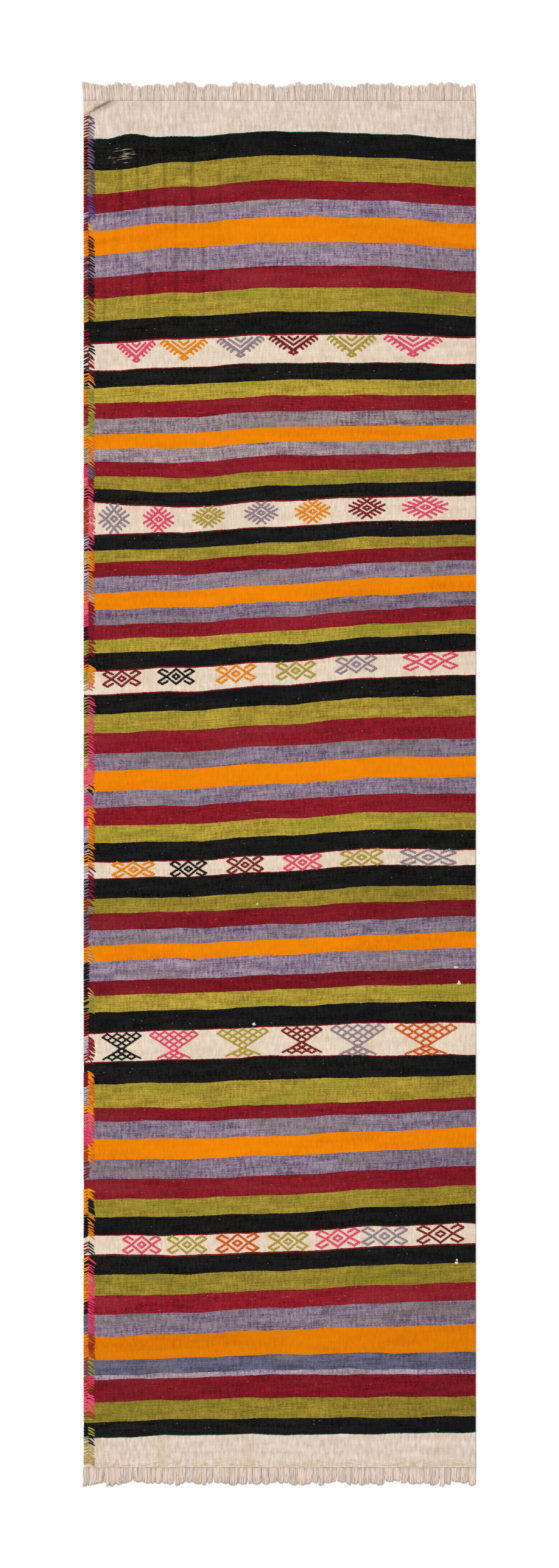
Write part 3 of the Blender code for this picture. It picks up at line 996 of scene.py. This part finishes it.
def hooked_lines():
    """A diamond with four hooked arms and a small ring inside."""
    lines = [
        [(0.0, 0.04), (0.26, 0.495), (0.0, 0.96), (-0.26, 0.495), (0.0, 0.04)],
        [(0.0, 0.35), (0.10, 0.5), (0.0, 0.65), (-0.10, 0.5), (0.0, 0.35)],
    ]
    return lines + four_ways([
        [(0.26, 0.5), (0.485, 0.20), (0.37, 0.05), (0.23, 0.22)],
    ])


def net_lines(loops, feet):
    """A net of lozenges that narrows to a waist, and a smaller net below it between two legs."""
    half, tall = 0.5 / loops, 0.118
    lines = []

    def add_row(count, v, height):
        for place in range(count):
            u = (place - (count - 1) / 2) * 2 * half
            lines.append([(u, v - height), (u + half, v), (u, v + height), (u - half, v), (u, v - height)])

    for row in range(loops):
        add_row(loops - row, 0.135 + row * tall, tall)
    waist = 0.135 + (loops - 1) * tall + 0.85 * tall
    low = (0.985 - waist) / (feet + 0.5)
    for row in range(feet):
        add_row(row + 1, waist + low * (row + 0.65), 0.9 * low)
    return lines + both_sides([[(0.0, waist), (1.3 * (0.965 - waist), 0.965)]])


def figure_lines(kind, yarn):
    """The lines of one figure in shares of its width and height; nets are knotted in two ways."""
    if kind == "triangle":
        return triangle_lines()
    if kind == "burr":
        return burr_lines()
    if kind == "hooked":
        return hooked_lines()
    return net_lines(4, 3) if yarn in ("black", "burgundy") else net_lines(5, 2)


# How thick each kind's lines are drawn, as a share of the usual line.
LINE_SHARES = {"triangle": 1.08, "burr": 1.04, "hooked": 1.06, "net": 0.92}


def brocade_floats(lines, width, height, row_pitch, line_width):
    """Lengths of brocading yarn that draw the lines: row centre down the figure, start and end."""
    """Lengths of brocading yarn that draw the lines: row centre down the figure, start and end.

    Each row is looked along in steps, and yarn lies wherever a step is near enough to a line.
    """
    floats = []
    rows = int(height / row_pitch) + 2
    step = WARP_RIB / 8
    x = np.arange(-width / 2 - 0.003, width / 2 + 0.003, step)
    starts, ends = [], []
    for line in lines:
        for (u0, v0), (u1, v1) in zip(line, line[1:]):
            starts.append((u0 * width, v0 * height))
            ends.append((u1 * width, v1 * height))
    starts, ends = np.array(starts), np.array(ends)
    run = ends - starts
    length = np.maximum((run**2).sum(1), 1e-12)
    for row in range(rows):
        down = (row + 0.5) * row_pitch - row_pitch / 2
        across = x[:, None] - starts[:, 0]
        from_start = np.stack([across, np.broadcast_to(down - starts[:, 1], across.shape)], -1)
        share = np.clip((from_start * run).sum(-1) / length, 0.0, 1.0)
        off = from_start - share[..., None] * run
        covered = (np.sqrt((off**2).sum(-1)) < line_width / 2).any(1)
        edges = np.flatnonzero(np.diff(np.concatenate([[0], covered.astype(int), [0]])))
        for first, last in zip(edges[::2], edges[1::2]):
            begin, stop = x[first] - step / 2, x[last - 1] + step / 2
            if stop - begin < SHORTEST_FLOAT:
                middle = (begin + stop) / 2
                begin, stop = middle - SHORTEST_FLOAT / 2, middle + SHORTEST_FLOAT / 2
            parts = max(1, math.ceil((stop - begin) / (LONGEST_FLOAT_RIBS * WARP_RIB)))
            cuts = [begin + (stop - begin) * part / parts for part in range(parts + 1)]
            floats += [(down, *ends) for ends in zip(cuts, cuts[1:])]
    return np.array(floats)


def model_float():
    """One length of brocading yarn, modelled once: a grain of rice along X, of unit size."""
    bpy.ops.object.select_all(action="DESELECT")
    bpy.ops.mesh.primitive_cylinder_add(
        vertices=8, radius=0.5, depth=1.0, end_fill_type="TRIFAN", rotation=(0, math.pi / 2, 0)
    )
    grain = bpy.context.active_object
    bpy.ops.object.transform_apply(location=True, rotation=True, scale=True)
    bpy.ops.object.mode_set(mode="EDIT")
    for cut in (-0.28, 0.28):
        bpy.ops.mesh.select_all(action="SELECT")
        bpy.ops.mesh.bisect(plane_co=(cut, 0, 0), plane_no=(1, 0, 0))
    bpy.ops.object.mode_set(mode="OBJECT")
    for vertex in grain.data.vertices:
        if abs(vertex.co.x) > 0.45:
            vertex.co.y *= 0.55
            vertex.co.z *= 0.45
    return take_mesh(grain)


def take_mesh(source, weld=0.0):
    """Points and triangles of the modelled shape at hand, which is then put away."""
    bpy.ops.object.mode_set(mode="EDIT")
    bpy.ops.mesh.select_all(action="SELECT")
    if weld:
        bpy.ops.mesh.remove_doubles(threshold=weld)
    bpy.ops.mesh.quads_convert_to_tris()
    bpy.ops.mesh.normals_make_consistent(inside=False)
    bpy.ops.object.mode_set(mode="OBJECT")
    source.data.calc_loop_triangles()
    points = np.array([vertex.co for vertex in source.data.vertices], float).reshape(-1, 3)
    faces = np.array([triangle.vertices for triangle in source.data.loop_triangles], int)
    bpy.data.objects.remove(source, do_unlink=True)
    return points, faces


def copies(points, faces, count):
    """Faces of many copies of one shape laid end to end in one mesh."""
    return (faces[None] + np.arange(count)[:, None, None] * len(points)).reshape(-1, 3)


def weave_figure(name, kind, yarn, band_pick, inset, rib, ribs, picks, grain, dice):
    """One brocaded figure as floats of yarn on the ground band."""
    weave = bpy.context.scene.rug_weave
    points, faces = grain
    width, height = ribs * WARP_RIB, picks * WEFT_PICK
    floats = brocade_floats(
        figure_lines(kind, yarn), width - FIGURE_MARGIN, height, weave.brocade_row,
        weave.brocade_line * LINE_SHARES[kind],
    )
    count = len(floats)
    centre_x = rib * WARP_RIB - WIDTH / 2 + width / 2
    x = centre_x + (floats[:, 1] + floats[:, 2]) / 2
    y = weft_y(x, band_pick + inset + floats[:, 0] / WEFT_PICK) + dice.normal(0, 0.00012, count)
    long = floats[:, 2] - floats[:, 1] + FLOAT_OVERLAP + dice.normal(0, 0.0002, count)
    z = lie(x, y) + THICKNESS + 0.00005 + dice.normal(0, 0.00008, count)
    placed = np.empty((count, len(points), 3))
    placed[..., 0] = x[:, None] + points[None, :, 0] * long[:, None]
    placed[..., 1] = y[:, None] + points[None, :, 1] * weave.brocade_row * FLOAT_ROW_SHARE
    placed[..., 2] = z[:, None] + points[None, :, 2] * FLOAT_THICKNESS
    return new_piece(
        name, placed.reshape(-1, 3), copies(points, faces, count), figure_wool(yarn, name)
    )


# Display colours of the brocading yarns. Ember is a redder lot of the orange.
FIGURE_DYES = {
    "black": (30, 28, 29), "olive": (182, 158, 62), "burgundy": (126, 36, 38),
    "lavender": (150, 134, 146), "orange": (240, 142, 12), "pink": (228, 80, 112),
    "ember": (212, 92, 18),
}


def figure_wool(yarn, name):
    """The wool of one figure: two of the orange figures are worked with ember."""
    if yarn == "orange" and name.startswith(("net_figure", "hooked_figure_6")):
        yarn = "ember"
    return once(f"{yarn}_brocade", spun_wool, linear(*FIGURE_DYES[yarn]))


# ---------------------------------------------------------------------------
# Overcast edge and fringe


def model_tube(path, radii, sides):
    """A tapered tube of yarn along a path, modelled once."""
    curve = bpy.data.curves.new("yarn_path", "CURVE")
    curve.dimensions = "3D"
    curve.bevel_depth = 1.0
    curve.bevel_resolution = max(0, sides // 2 - 2)
    curve.use_fill_caps = True
    spline = curve.splines.new("POLY")
    spline.points.add(len(path) - 1)
    for point, place, radius in zip(spline.points, path, radii):
        point.co = (*place, 1)
        point.radius = radius
    tube = bpy.data.objects.new("yarn_path", curve)
    bpy.context.scene.collection.objects.link(tube)
    bpy.ops.object.select_all(action="DESELECT")
    tube.select_set(True)
    bpy.context.view_layer.objects.active = tube
    bpy.ops.object.convert(target="MESH")
    return take_mesh(bpy.context.view_layer.objects.active, weld=1e-6)


def outer_stitch():
    """Yarn round the edge of the cloth: from under it, round the edge and up to the middle."""
    path = [
        (0.0105, 0, 0.0011), (0.0060, 0, 0.0007), (0.0022, 0, 0.0007), (0.0009, 0, 0.0012),
        (0.0007, 0, 0.0021), (0.0012, 0, 0.0029), (0.0032, 0, 0.0033), (0.0065, 0, 0.00335),
        (0.0098, 0, 0.0031), (0.0120, 0, 0.0026),
    ]
    radii = [0.0004, 0.0006, 0.0007, 0.0007, 0.0007, 0.0007, 0.0007, 0.0007, 0.0006, 0.0003]
    return model_tube(path, radii, 6)


def inner_stitch():
    """Yarn from the middle of the overcast edge down to where it enters the cloth."""
    path = [
        (0.0088, 0, 0.0027), (0.0105, 0, 0.0033), (0.0140, 0, 0.00345), (0.0180, 0, 0.0033),
        (0.0212, 0, 0.0029), (0.0230, 0, 0.0021),
    ]
    radii = [0.0004, 0.0007, 0.00075, 0.00075, 0.0006, 0.0003]
    return model_tube(path, radii, 6)


def overcast_yarns():
    """Dye and its tint for each yarn of the overcast edge."""
    yarns = bpy.context.scene.rug_yarns
    return {
        "burgundy": (linear(140, 26, 46), None),
        "rust": (tuple(yarns.rust), linear(120, 24, 34)),
        "violet": (linear(96, 84, 124), linear(150, 138, 166)),
        "indigo": (linear(88, 70, 140), linear(120, 104, 160)),
        "lavender": (linear(166, 152, 176), linear(200, 190, 196)),
        "straw": (tuple(yarns.straw), linear(214, 170, 90)),
        "olive": (linear(158, 150, 62), linear(120, 128, 50)),
        "orange": (linear(242, 140, 20), linear(226, 100, 20)),
        "black": (linear(28, 27, 30), None),
        "pink": (tuple(yarns.pink), linear(236, 90, 128)),
        "salmon": (tuple(yarns.salmon), linear(224, 72, 104)),
        "slate": (tuple(yarns.slate), linear(150, 146, 164)),
    }


def stitch_places():
    """Each stitch of the overcast edge: (column, yarn, y)."""
    weave = bpy.context.scene.rug_weave
    placed = []
    start = (CLOTH_TOP_Y - OVERCAST_TOP_Y) * 1000 + 2.0
    for run in OVERCAST_RUNS.split(","):
        until, outer, inner, *close = run.split()
        pitch = 1000 * (weave.overcast_close if close else weave.overcast_open)
        while start < int(until) - 0.5:
            placed.append(("outer", outer, CLOTH_TOP_Y - start / 1000))
            placed.append(("inner", inner, CLOTH_TOP_Y - start / 1000))
            start += pitch
    return [(column, yarn, y) for column, yarn, y in placed if yarn != "bare"]


def add_stitches(name, column, places, shape, material, dice):
    """All the stitches of one yarn in one column of one half of the rug, as one piece."""
    points, faces = shape
    count = len(places)
    y = np.array(places) + dice.normal(0, 0.0006, count)
    x0 = -WIDTH / 2
    wide = 1.0 + dice.normal(0, 0.08, count)
    slant = 1.0 + dice.normal(0, 0.30, count)
    thick = np.maximum(STITCH_THICK + dice.normal(0, 0.38, count), 1.5)
    px, py, pz = points.T
    on_top = pz > STITCH_TOP
    if column == "outer":
        rise = np.where(
            on_top, OUTER_RISE * px / OUTER_REACH, -UNDER_FALL * px / OUTER_REACH
        )
    else:
        fall = np.clip((px - INNER_START) / INNER_REACH, 0.0, 1.2)
        rise = OUTER_RISE - INNER_FALL * fall**1.25
    placed = np.empty((count, len(points), 3))
    placed[..., 0] = x0 + 0.0002 + np.clip(px[None] * wide[:, None], 0.0, OVERCAST_WIDTH + 0.004)
    placed[..., 1] = y[:, None] + py[None] * thick[:, None] + rise[None] * slant[:, None]
    placed[..., 1] -= STITCH_SHIFT
    ground = lie(np.full(count, x0 + 0.012), y)
    placed[..., 2] = ground[:, None] + pz[None]
    return new_piece(name, placed.reshape(-1, 3), copies(points, faces, count), material)


def comb_fringe(name, root_y, reach, outward, seed, material):
    """Loose warp ends as strands that lean together in locks."""
    strands = bpy.context.scene.rug_weave.fringe_strands
    dice = np.random.default_rng(seed)
    path = [(0.0, along, 0.0) for along in np.linspace(0.0, 1.0, 9)]
    radii = [0.00066, 0.00080, 0.00086, 0.00086, 0.00084, 0.00080, 0.00074, 0.00066, 0.00048]
    points, faces = model_tube(path, radii, 6)

    # Locks of uneven width, stretched a little to fill the whole width of the rug.
    edges = [-WIDTH / 2]
    while edges[-1] < WIDTH / 2 - 0.006:
        edges.append(edges[-1] + dice.uniform(*LOCK_WIDTHS))
    edges = (np.array(edges) + WIDTH / 2) * WIDTH / (edges[-1] + WIDTH / 2) - WIDTH / 2
    locks = len(edges) - 1
    middle = (edges[1:] + edges[:-1]) / 2
    swell = np.sin(middle * 47.0 + seed) + np.sin(middle * 103.0 + 2.0 * seed)
    full = np.clip(0.88 + 0.060 * swell + dice.normal(0, 0.04, locks), 0.74, 1.0)
    lean = dice.normal(0.0, 0.0013, locks)

    # Where each strand leaves the cloth, and the length that its place in its lock gives it.
    root = np.linspace(-WIDTH / 2 + 0.0007, WIDTH / 2 - 0.0007, strands)
    root = root + dice.normal(0, 0.0003, strands)
    root = np.clip(root, -WIDTH / 2 + 0.0006, WIDTH / 2 - 0.0006)
    lock = np.clip(np.searchsorted(edges, root) - 1, 0, locks - 1)
    left, right = edges[lock], edges[lock + 1]
    inside = (root - left) / (right - left) * 2 - 1
    crest = dice.uniform(-0.3, 0.3, locks)[lock]
    length = reach * full[lock] * (1 - 0.11 * np.abs(inside - crest) ** 2.2)
    length = length * dice.uniform(0.975, 1.0, strands)

    # Beside the overcast edge the fringe is full, and its outermost strands spread outwards.
    corner = np.clip((root + WIDTH / 2) / FRINGE_CORNER, 0.0, 1.0)
    length = length + (reach * (1.0 - 0.22 * corner) - length) * (corner < 1.0)
    length = np.clip(length, reach * 0.55, reach * 0.995)
    pull = 0.0002 * inside + lean[lock]
    pull = np.where(corner < 1.0, pull * corner - 0.0035 * (1 - corner), pull)
    wave = dice.normal(0, 0.0010, strands)
    phase = dice.uniform(0, 2 * math.pi, strands)
    layer = np.arange(strands) % 2

    # Points of every strand: pulled towards its lock, waved, and let down from the cloth's height.
    px, py, pz = points.T
    out = py[None] * length[:, None]
    share = py[None]
    x = root[:, None] + px[None] + pull[:, None] * share**1.6
    x = x + wave[:, None] * np.sin(share * 5.0 + phase[:, None]) * share
    x = np.clip(x, -WIDTH / 2 - 0.003, WIDTH / 2 + 0.003)
    y = root_y + outward * (out - STRAND_ROOT)
    lift = lie(root, np.full(strands, root_y))[:, None] * (1 - 0.75 * smooth_step(share))
    z = STRAND_HEIGHT + LAYER_HEIGHT * layer[:, None] + pz[None] + lift
    z = z + 0.00015 * np.sin(share * 4.0 + phase[:, None])
    placed = np.stack([x, y + np.zeros_like(x), z], -1)
    if outward < 0:
        faces = faces[:, ::-1]
    piece = new_piece(name, placed.reshape(-1, 3), copies(points, faces, strands), material)
    # Painted shade: strands darker towards the edges of their lock where the locks part, a little darker
    # in the lower layer, and darker near the root on some strands.
    between = 1 - 0.24 * np.abs(inside) ** 4 - 0.03 * (layer == 0)
    at_root = 1 - 0.26 * (1 - share) ** 5 * (dice.random(strands) < 0.35)[:, None]
    put_points(piece.data, "shade", between[:, None] * at_root)
    put_points(piece.data, "strand", np.repeat(dice.random(strands), len(points)))
    return piece


# ---------------------------------------------------------------------------
# Pieces


def stretches():
    """Every stretch of cloth: (stem of its CAD node, name, yarn, tone, first pick, last pick)."""
    found = [("end_band_top", "end_band_upper_cloth", "end_cream", 0, 0, END_BAND_TOP)]
    pick = END_BAND_TOP
    for number, stripes in enumerate(FIELDS):
        order = LAST_ORDER if len(stripes) > len(YARN_ORDER) else YARN_ORDER
        for place, (yarn, (depth, tone)) in enumerate(zip(order, stripes)):
            name = f"stripe_{number + 1}_{place + 1}_{yarn}"
            found.append((f"striped_field_{number + 1}", name, yarn, tone, pick, pick + depth))
            pick += depth
        if number < len(GROUND_BANDS):
            name = f"ground_cloth_{number + 1}"
            depth = GROUND_BANDS[number]
            found.append((f"ground_band_{number + 1}", name, "cream", 0, pick, pick + depth))
            pick += depth
    found.append(
        ("end_band_bottom", "end_band_lower_cloth", "end_cream", 0, pick, pick + END_BAND_BOTTOM)
    )
    return found


CLOTH_PICKS = stretches()[-1][-1]


def line_at(pick):
    """The same line of weft for the pieces on both its sides."""
    return edge_line(pick, int(round(pick * 10)))


class RUG_OT_edgings(bpy.types.Operator):
    """Weaves the narrow burgundy and green picks beside the cream cloth"""

    bl_idname = "rug.edgings"
    bl_label = "Weave Edgings"

    def execute(self, context):
        for stem, name, yarn, _tone, first, last in stretches():
            if yarn == "cream":
                number = int(stem.rsplit("_", 1)[1])
                above, below = EDGINGS[number - 1]
                rows = (("above", first, first + above), ("below", last - below, last))
                wool = cloth_wool("edging")
            elif name == FIRST_STRIPE:
                rows = (("green", first, first + GREEN_PICKS),)
                wool = cloth_wool("green")
            elif name == LAST_STRIPE:
                rows = (("green", last - GREEN_PICKS, last),)
                wool = cloth_wool("green")
            else:
                continue
            for side, start, end in rows:
                edging = weave_sheet(
                    f"edging_{stem}_{side}", edging_line(start, first, last),
                    edging_line(end, first, last), start, end, 0, wool,
                )
                carry(edging)
        return {"FINISHED"}


def edging_line(pick, first, last):
    """A line of weft beside an edge: it follows that edge's own steps and waves."""
    edge = first if pick - first < last - pick else last
    return line_at(edge) - (pick - edge) * WEFT_PICK


class RUG_OT_figures(bpy.types.Operator):
    """Brocades the figures on the ground bands"""

    bl_idname = "rug.figures"
    bl_label = "Brocade Figures"

    def execute(self, context):
        grain = model_float()
        bands = [row for row in stretches() if row[2] == "cream"]
        for number, (kind, inset, figures) in enumerate(FIGURES):
            band_pick = bands[number][4]
            for place, (yarn, rib, ribs, picks) in enumerate(figures):
                node = f"{kind}_figure_{number + 1}_{place + 1}_{yarn}"
                dice = np.random.default_rng(500 + number * 20 + place)
                figure = weave_figure(
                    node + "_brocade", kind, yarn, band_pick, inset, rib, ribs, picks, grain, dice
                )
                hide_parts(node)
                carry(figure)
        return {"FINISHED"}


class RUG_OT_overcast(bpy.types.Operator):
    """Wraps the overcast edge in its runs of yarn"""

    bl_idname = "rug.overcast"
    bl_label = "Overcast Edge"

    def execute(self, context):
        shapes = {"outer": outer_stitch(), "inner": inner_stitch()}
        half_way = (FOLD_TOP_Y + FOLD_BOTTOM_Y) / 2
        groups = {}
        for column, yarn, y in stitch_places():
            half = "upper" if y > half_way else "lower"
            groups.setdefault((half, yarn, column), []).append(y)
        dice = np.random.default_rng(77)
        for (half, yarn, column), places in sorted(groups.items()):
            dye, tint = overcast_yarns()[yarn]
            wool = once(f"{yarn}_overcast", spun_wool, dye, 0.25, tint)
            piece = add_stitches(
                f"overcast_{half}_{yarn}_{column}", column, places, shapes[column], wool, dice
            )
            nodes = ["overcast_edge_middle", "overcast_edge_top" if half == "upper" else
                     "overcast_edge_bottom"]
            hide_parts(*nodes)
            carry(piece)
        return {"FINISHED"}


def lay_grains(points, x, y, z, turn, long, thick):
    """Copies of one grain of yarn, each bowed a little, turned and laid in its place."""
    px = points[None, :, 0] * long[:, None]
    py = points[None, :, 1] * thick[:, None]
    py = py + 0.10 * long[:, None] * np.cos(points[None, :, 0] * 5)
    return np.stack([
        x[:, None] + px * np.cos(turn)[:, None] - py * np.sin(turn)[:, None],
        y[:, None] + px * np.sin(turn)[:, None] + py * np.cos(turn)[:, None],
        z[:, None] + points[None, :, 2] * thick[:, None],
    ], -1)


def bundle(name, laid, faces, wool):
    """A piece of undyed yarn from grains that are laid in their places."""
    points = laid.reshape(-1, 3)
    piece = new_piece(name, points, copies(laid[0], faces, len(laid)), wool)
    carry(piece)


class RUG_OT_corner_knot(bpy.types.Operator):
    """Rolls the frayed yarn that holds the turned corner"""

    bl_idname = "rug.corner_knot"
    bl_label = "Roll Corner Knot"

    def execute(self, context):
        points, faces = model_float()
        dice = np.random.default_rng(4)
        count = KNOT_GRAINS
        along = dice.random(count)
        turn = math.radians(40) + dice.normal(0, 0.8, count)
        x = -WIDTH / 2 + KNOT_ACROSS + KNOT_RUN * along + dice.normal(0, 0.0022, count)
        y = CLOTH_TOP_Y - KNOT_DOWN + KNOT_RISE * along + dice.normal(0, 0.0026, count)
        long = dice.uniform(0.004, 0.008, count)
        thick = dice.uniform(0.0015, 0.0030, count)
        z = lie(x, y) + THICKNESS + dice.uniform(-0.0010, 0.0001, count)
        placed = lay_grains(points, x, y, z, turn, long, thick)
        placed[..., 0] = np.maximum(placed[..., 0], -WIDTH / 2 + 0.0003)
        wool = once(
            "corner_knot_wool", spun_wool, linear(226, 208, 186), 0.20, linear(186, 164, 138)
        )
        bundle("corner_knot_yarn", placed, faces, wool)
        return {"FINISHED"}


class RUG_OT_tufts(bpy.types.Operator):
    """Pulls tufts of pale wool up through the cloth"""

    bl_idname = "rug.tufts"
    bl_label = "Pull Tufts"

    def execute(self, context):
        points, faces = model_float()
        count = TUFT_GRAINS
        wool = once("tuft_wool", spun_wool, linear(232, 222, 208), 0.16)
        for number, (across, up, wide, tall) in enumerate(TUFTS):
            dice = np.random.default_rng(90 + number)
            angle = dice.uniform(0, 2 * math.pi, count)
            out = np.sqrt(dice.random(count))
            x = (across + out * np.cos(angle) * wide * 0.36) / 1000
            y = (up + out * np.sin(angle) * tall * 0.36) / 1000
            turn = dice.normal(0, 0.7, count)
            long = dice.uniform(0.30, 0.55, count) * wide / 1000
            thick = dice.uniform(0.0007, 0.0013, count)
            z = lie(x, y) + THICKNESS + 0.0011 * (1 - out) * dice.random(count)
            placed = lay_grains(points, x, y, z, turn, long, thick)
            bundle(f"pale_tuft_{number + 1}", placed, faces, wool)
        return {"FINISHED"}


class RUG_OT_fringes(bpy.types.Operator):
    """Combs the loose warp ends into a fringe at both ends"""

    bl_idname = "rug.fringes"
    bl_label = "Comb Fringes"

    def execute(self, context):
        wool = once("fringe_wool", fringe_wool, context.scene.rug_yarns.warp)
        upper = comb_fringe("fringe_upper_strands", CLOTH_TOP_Y, FRINGE_TOP_REACH, 1, 11, wool)
        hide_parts("fringe_top")
        lower = comb_fringe(
            "fringe_lower_strands", FRINGE_BOTTOM_Y, FRINGE_BOTTOM_REACH, -1, 12, wool
        )
        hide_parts("fringe_bottom")
        for piece in (upper, lower):
            carry(piece)
        return {"FINISHED"}


class RUG_OT_cloth(bpy.types.Operator):
    """Weaves the end bands, the ground bands and the stripes"""

    bl_idname = "rug.cloth"
    bl_label = "Weave Cloth"

    def execute(self, context):
        for stem, name, yarn, tone, first, last in stretches():
            start, end = first, last
            place, on_it = "", []
            if yarn == "cream":
                number = int(stem.rsplit("_", 1)[1])
                start, end = first + EDGINGS[number - 1][0], last - EDGINGS[number - 1][1]
                on_it = [f"edging_{stem}_above", f"edging_{stem}_below"]
                on_it += [
                    piece.name for piece in bpy.data.objects
                    if piece.name.endswith("_brocade") and f"_figure_{number}_" in piece.name
                ]
            elif name == FIRST_STRIPE:
                place, start, on_it = "worn", first + GREEN_PICKS, [f"edging_{stem}_green"]
            elif name == LAST_STRIPE:
                end, on_it = last - GREEN_PICKS, [f"edging_{stem}_green"]
            elif name in GREY_STRIPES:
                place = "grey"
            elif name == "end_band_upper_cloth":
                on_it = ["fringe_upper_strands", "corner_knot_yarn"]
            elif name == "end_band_lower_cloth":
                on_it = ["fringe_lower_strands"]
            piece = weave_sheet(
                name, edging_line(start, first, last), edging_line(end, first, last), start, end,
                tone, cloth_wool(yarn, place),
            )
            for node in nodes_between(stem, first, last):
                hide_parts(node)
            carry(piece)
        return {"FINISHED"}


class RUG_OT_stage(bpy.types.Operator):
    """Lays the floor and sets the light and the camera"""

    bl_idname = "rug.stage"
    bl_label = "Set Stage"

    def execute(self, context):
        setup = context.scene.rug_stage
        bpy.ops.object.select_all(action="DESELECT")
        bpy.ops.mesh.primitive_plane_add(size=FLOOR_SIZE, location=(0, 0, -FLOOR_GAP))
        floor = context.active_object
        floor.name = "floor"
        bpy.ops.object.transform_apply(location=True, rotation=True, scale=True)
        paint = bpy.data.materials.new("floor_paint")
        paint.use_nodes = True
        shader = paint.node_tree.nodes["Principled BSDF"]
        shader.inputs["Base Color"].default_value = (*setup.floor, 1)
        shader.inputs["Roughness"].default_value = 0.95
        shader.inputs["Specular IOR Level"].default_value = 0.0
        floor.data.materials.append(paint)

        key = bpy.data.lights.new("key", "SUN")
        key.energy = setup.key
        key.angle = math.radians(KEY_SOFTNESS)
        key_light = bpy.data.objects.new("key", key)
        key_light.rotation_euler = [math.radians(turn) for turn in KEY_TURNS]
        context.scene.collection.objects.link(key_light)
        world = bpy.data.worlds.new("soft_room")
        world.use_nodes = True
        air = world.node_tree.nodes["Background"]
        air.inputs["Color"].default_value = (1, 1, 1, 1)
        air.inputs["Strength"].default_value = setup.sky
        context.scene.world = world
        context.scene.view_settings.view_transform = "Standard"

        lens = bpy.data.cameras.new("camera")
        lens.lens = LENS
        lens.sensor_width = FILM
        lens.clip_end = FAR
        camera = bpy.data.objects.new("camera", lens)
        camera.location = (0, 0, setup.height)
        context.scene.collection.objects.link(camera)
        context.scene.camera = camera
        return {"FINISHED"}


class RUG_PT_panel(bpy.types.Panel):
    """Lists the steps that make the rug"""

    bl_idname = "RUG_PT_panel"
    bl_label = "Runner Rug"
    bl_space_type = "VIEW_3D"
    bl_region_type = "UI"
    bl_category = "Rug"

    def draw(self, context):
        column = self.layout.column()
        for group in (context.scene.rug_yarns, context.scene.rug_weave, context.scene.rug_stage):
            for name in group.__annotations__:
                column.prop(group, name)
        for operator in STEPS:
            column.operator(operator.bl_idname)


STEPS = (
    RUG_OT_edgings, RUG_OT_figures, RUG_OT_overcast, RUG_OT_corner_knot, RUG_OT_tufts,
    RUG_OT_fringes, RUG_OT_cloth, RUG_OT_stage,
)
GROUPS = (("rug_yarns", RugYarns), ("rug_weave", RugWeave), ("rug_stage", RugStage))


def register():
    for name, group in GROUPS:
        bpy.utils.register_class(group)
        setattr(bpy.types.Scene, name, bpy.props.PointerProperty(type=group))
    for step in STEPS:
        bpy.utils.register_class(step)
    bpy.utils.register_class(RUG_PT_panel)


def unregister():
    bpy.utils.unregister_class(RUG_PT_panel)
    for step in reversed(STEPS):
        bpy.utils.unregister_class(step)
    for name, group in reversed(GROUPS):
        delattr(bpy.types.Scene, name)
        bpy.utils.unregister_class(group)


def main():
    register()
    bpy.ops.rug.edgings()
    bpy.ops.rug.figures()
    bpy.ops.rug.overcast()
    bpy.ops.rug.corner_knot()
    bpy.ops.rug.tufts()
    bpy.ops.rug.fringes()
    bpy.ops.rug.cloth()
    bpy.ops.rug.stage()


if __name__ == "__main__":
    main()
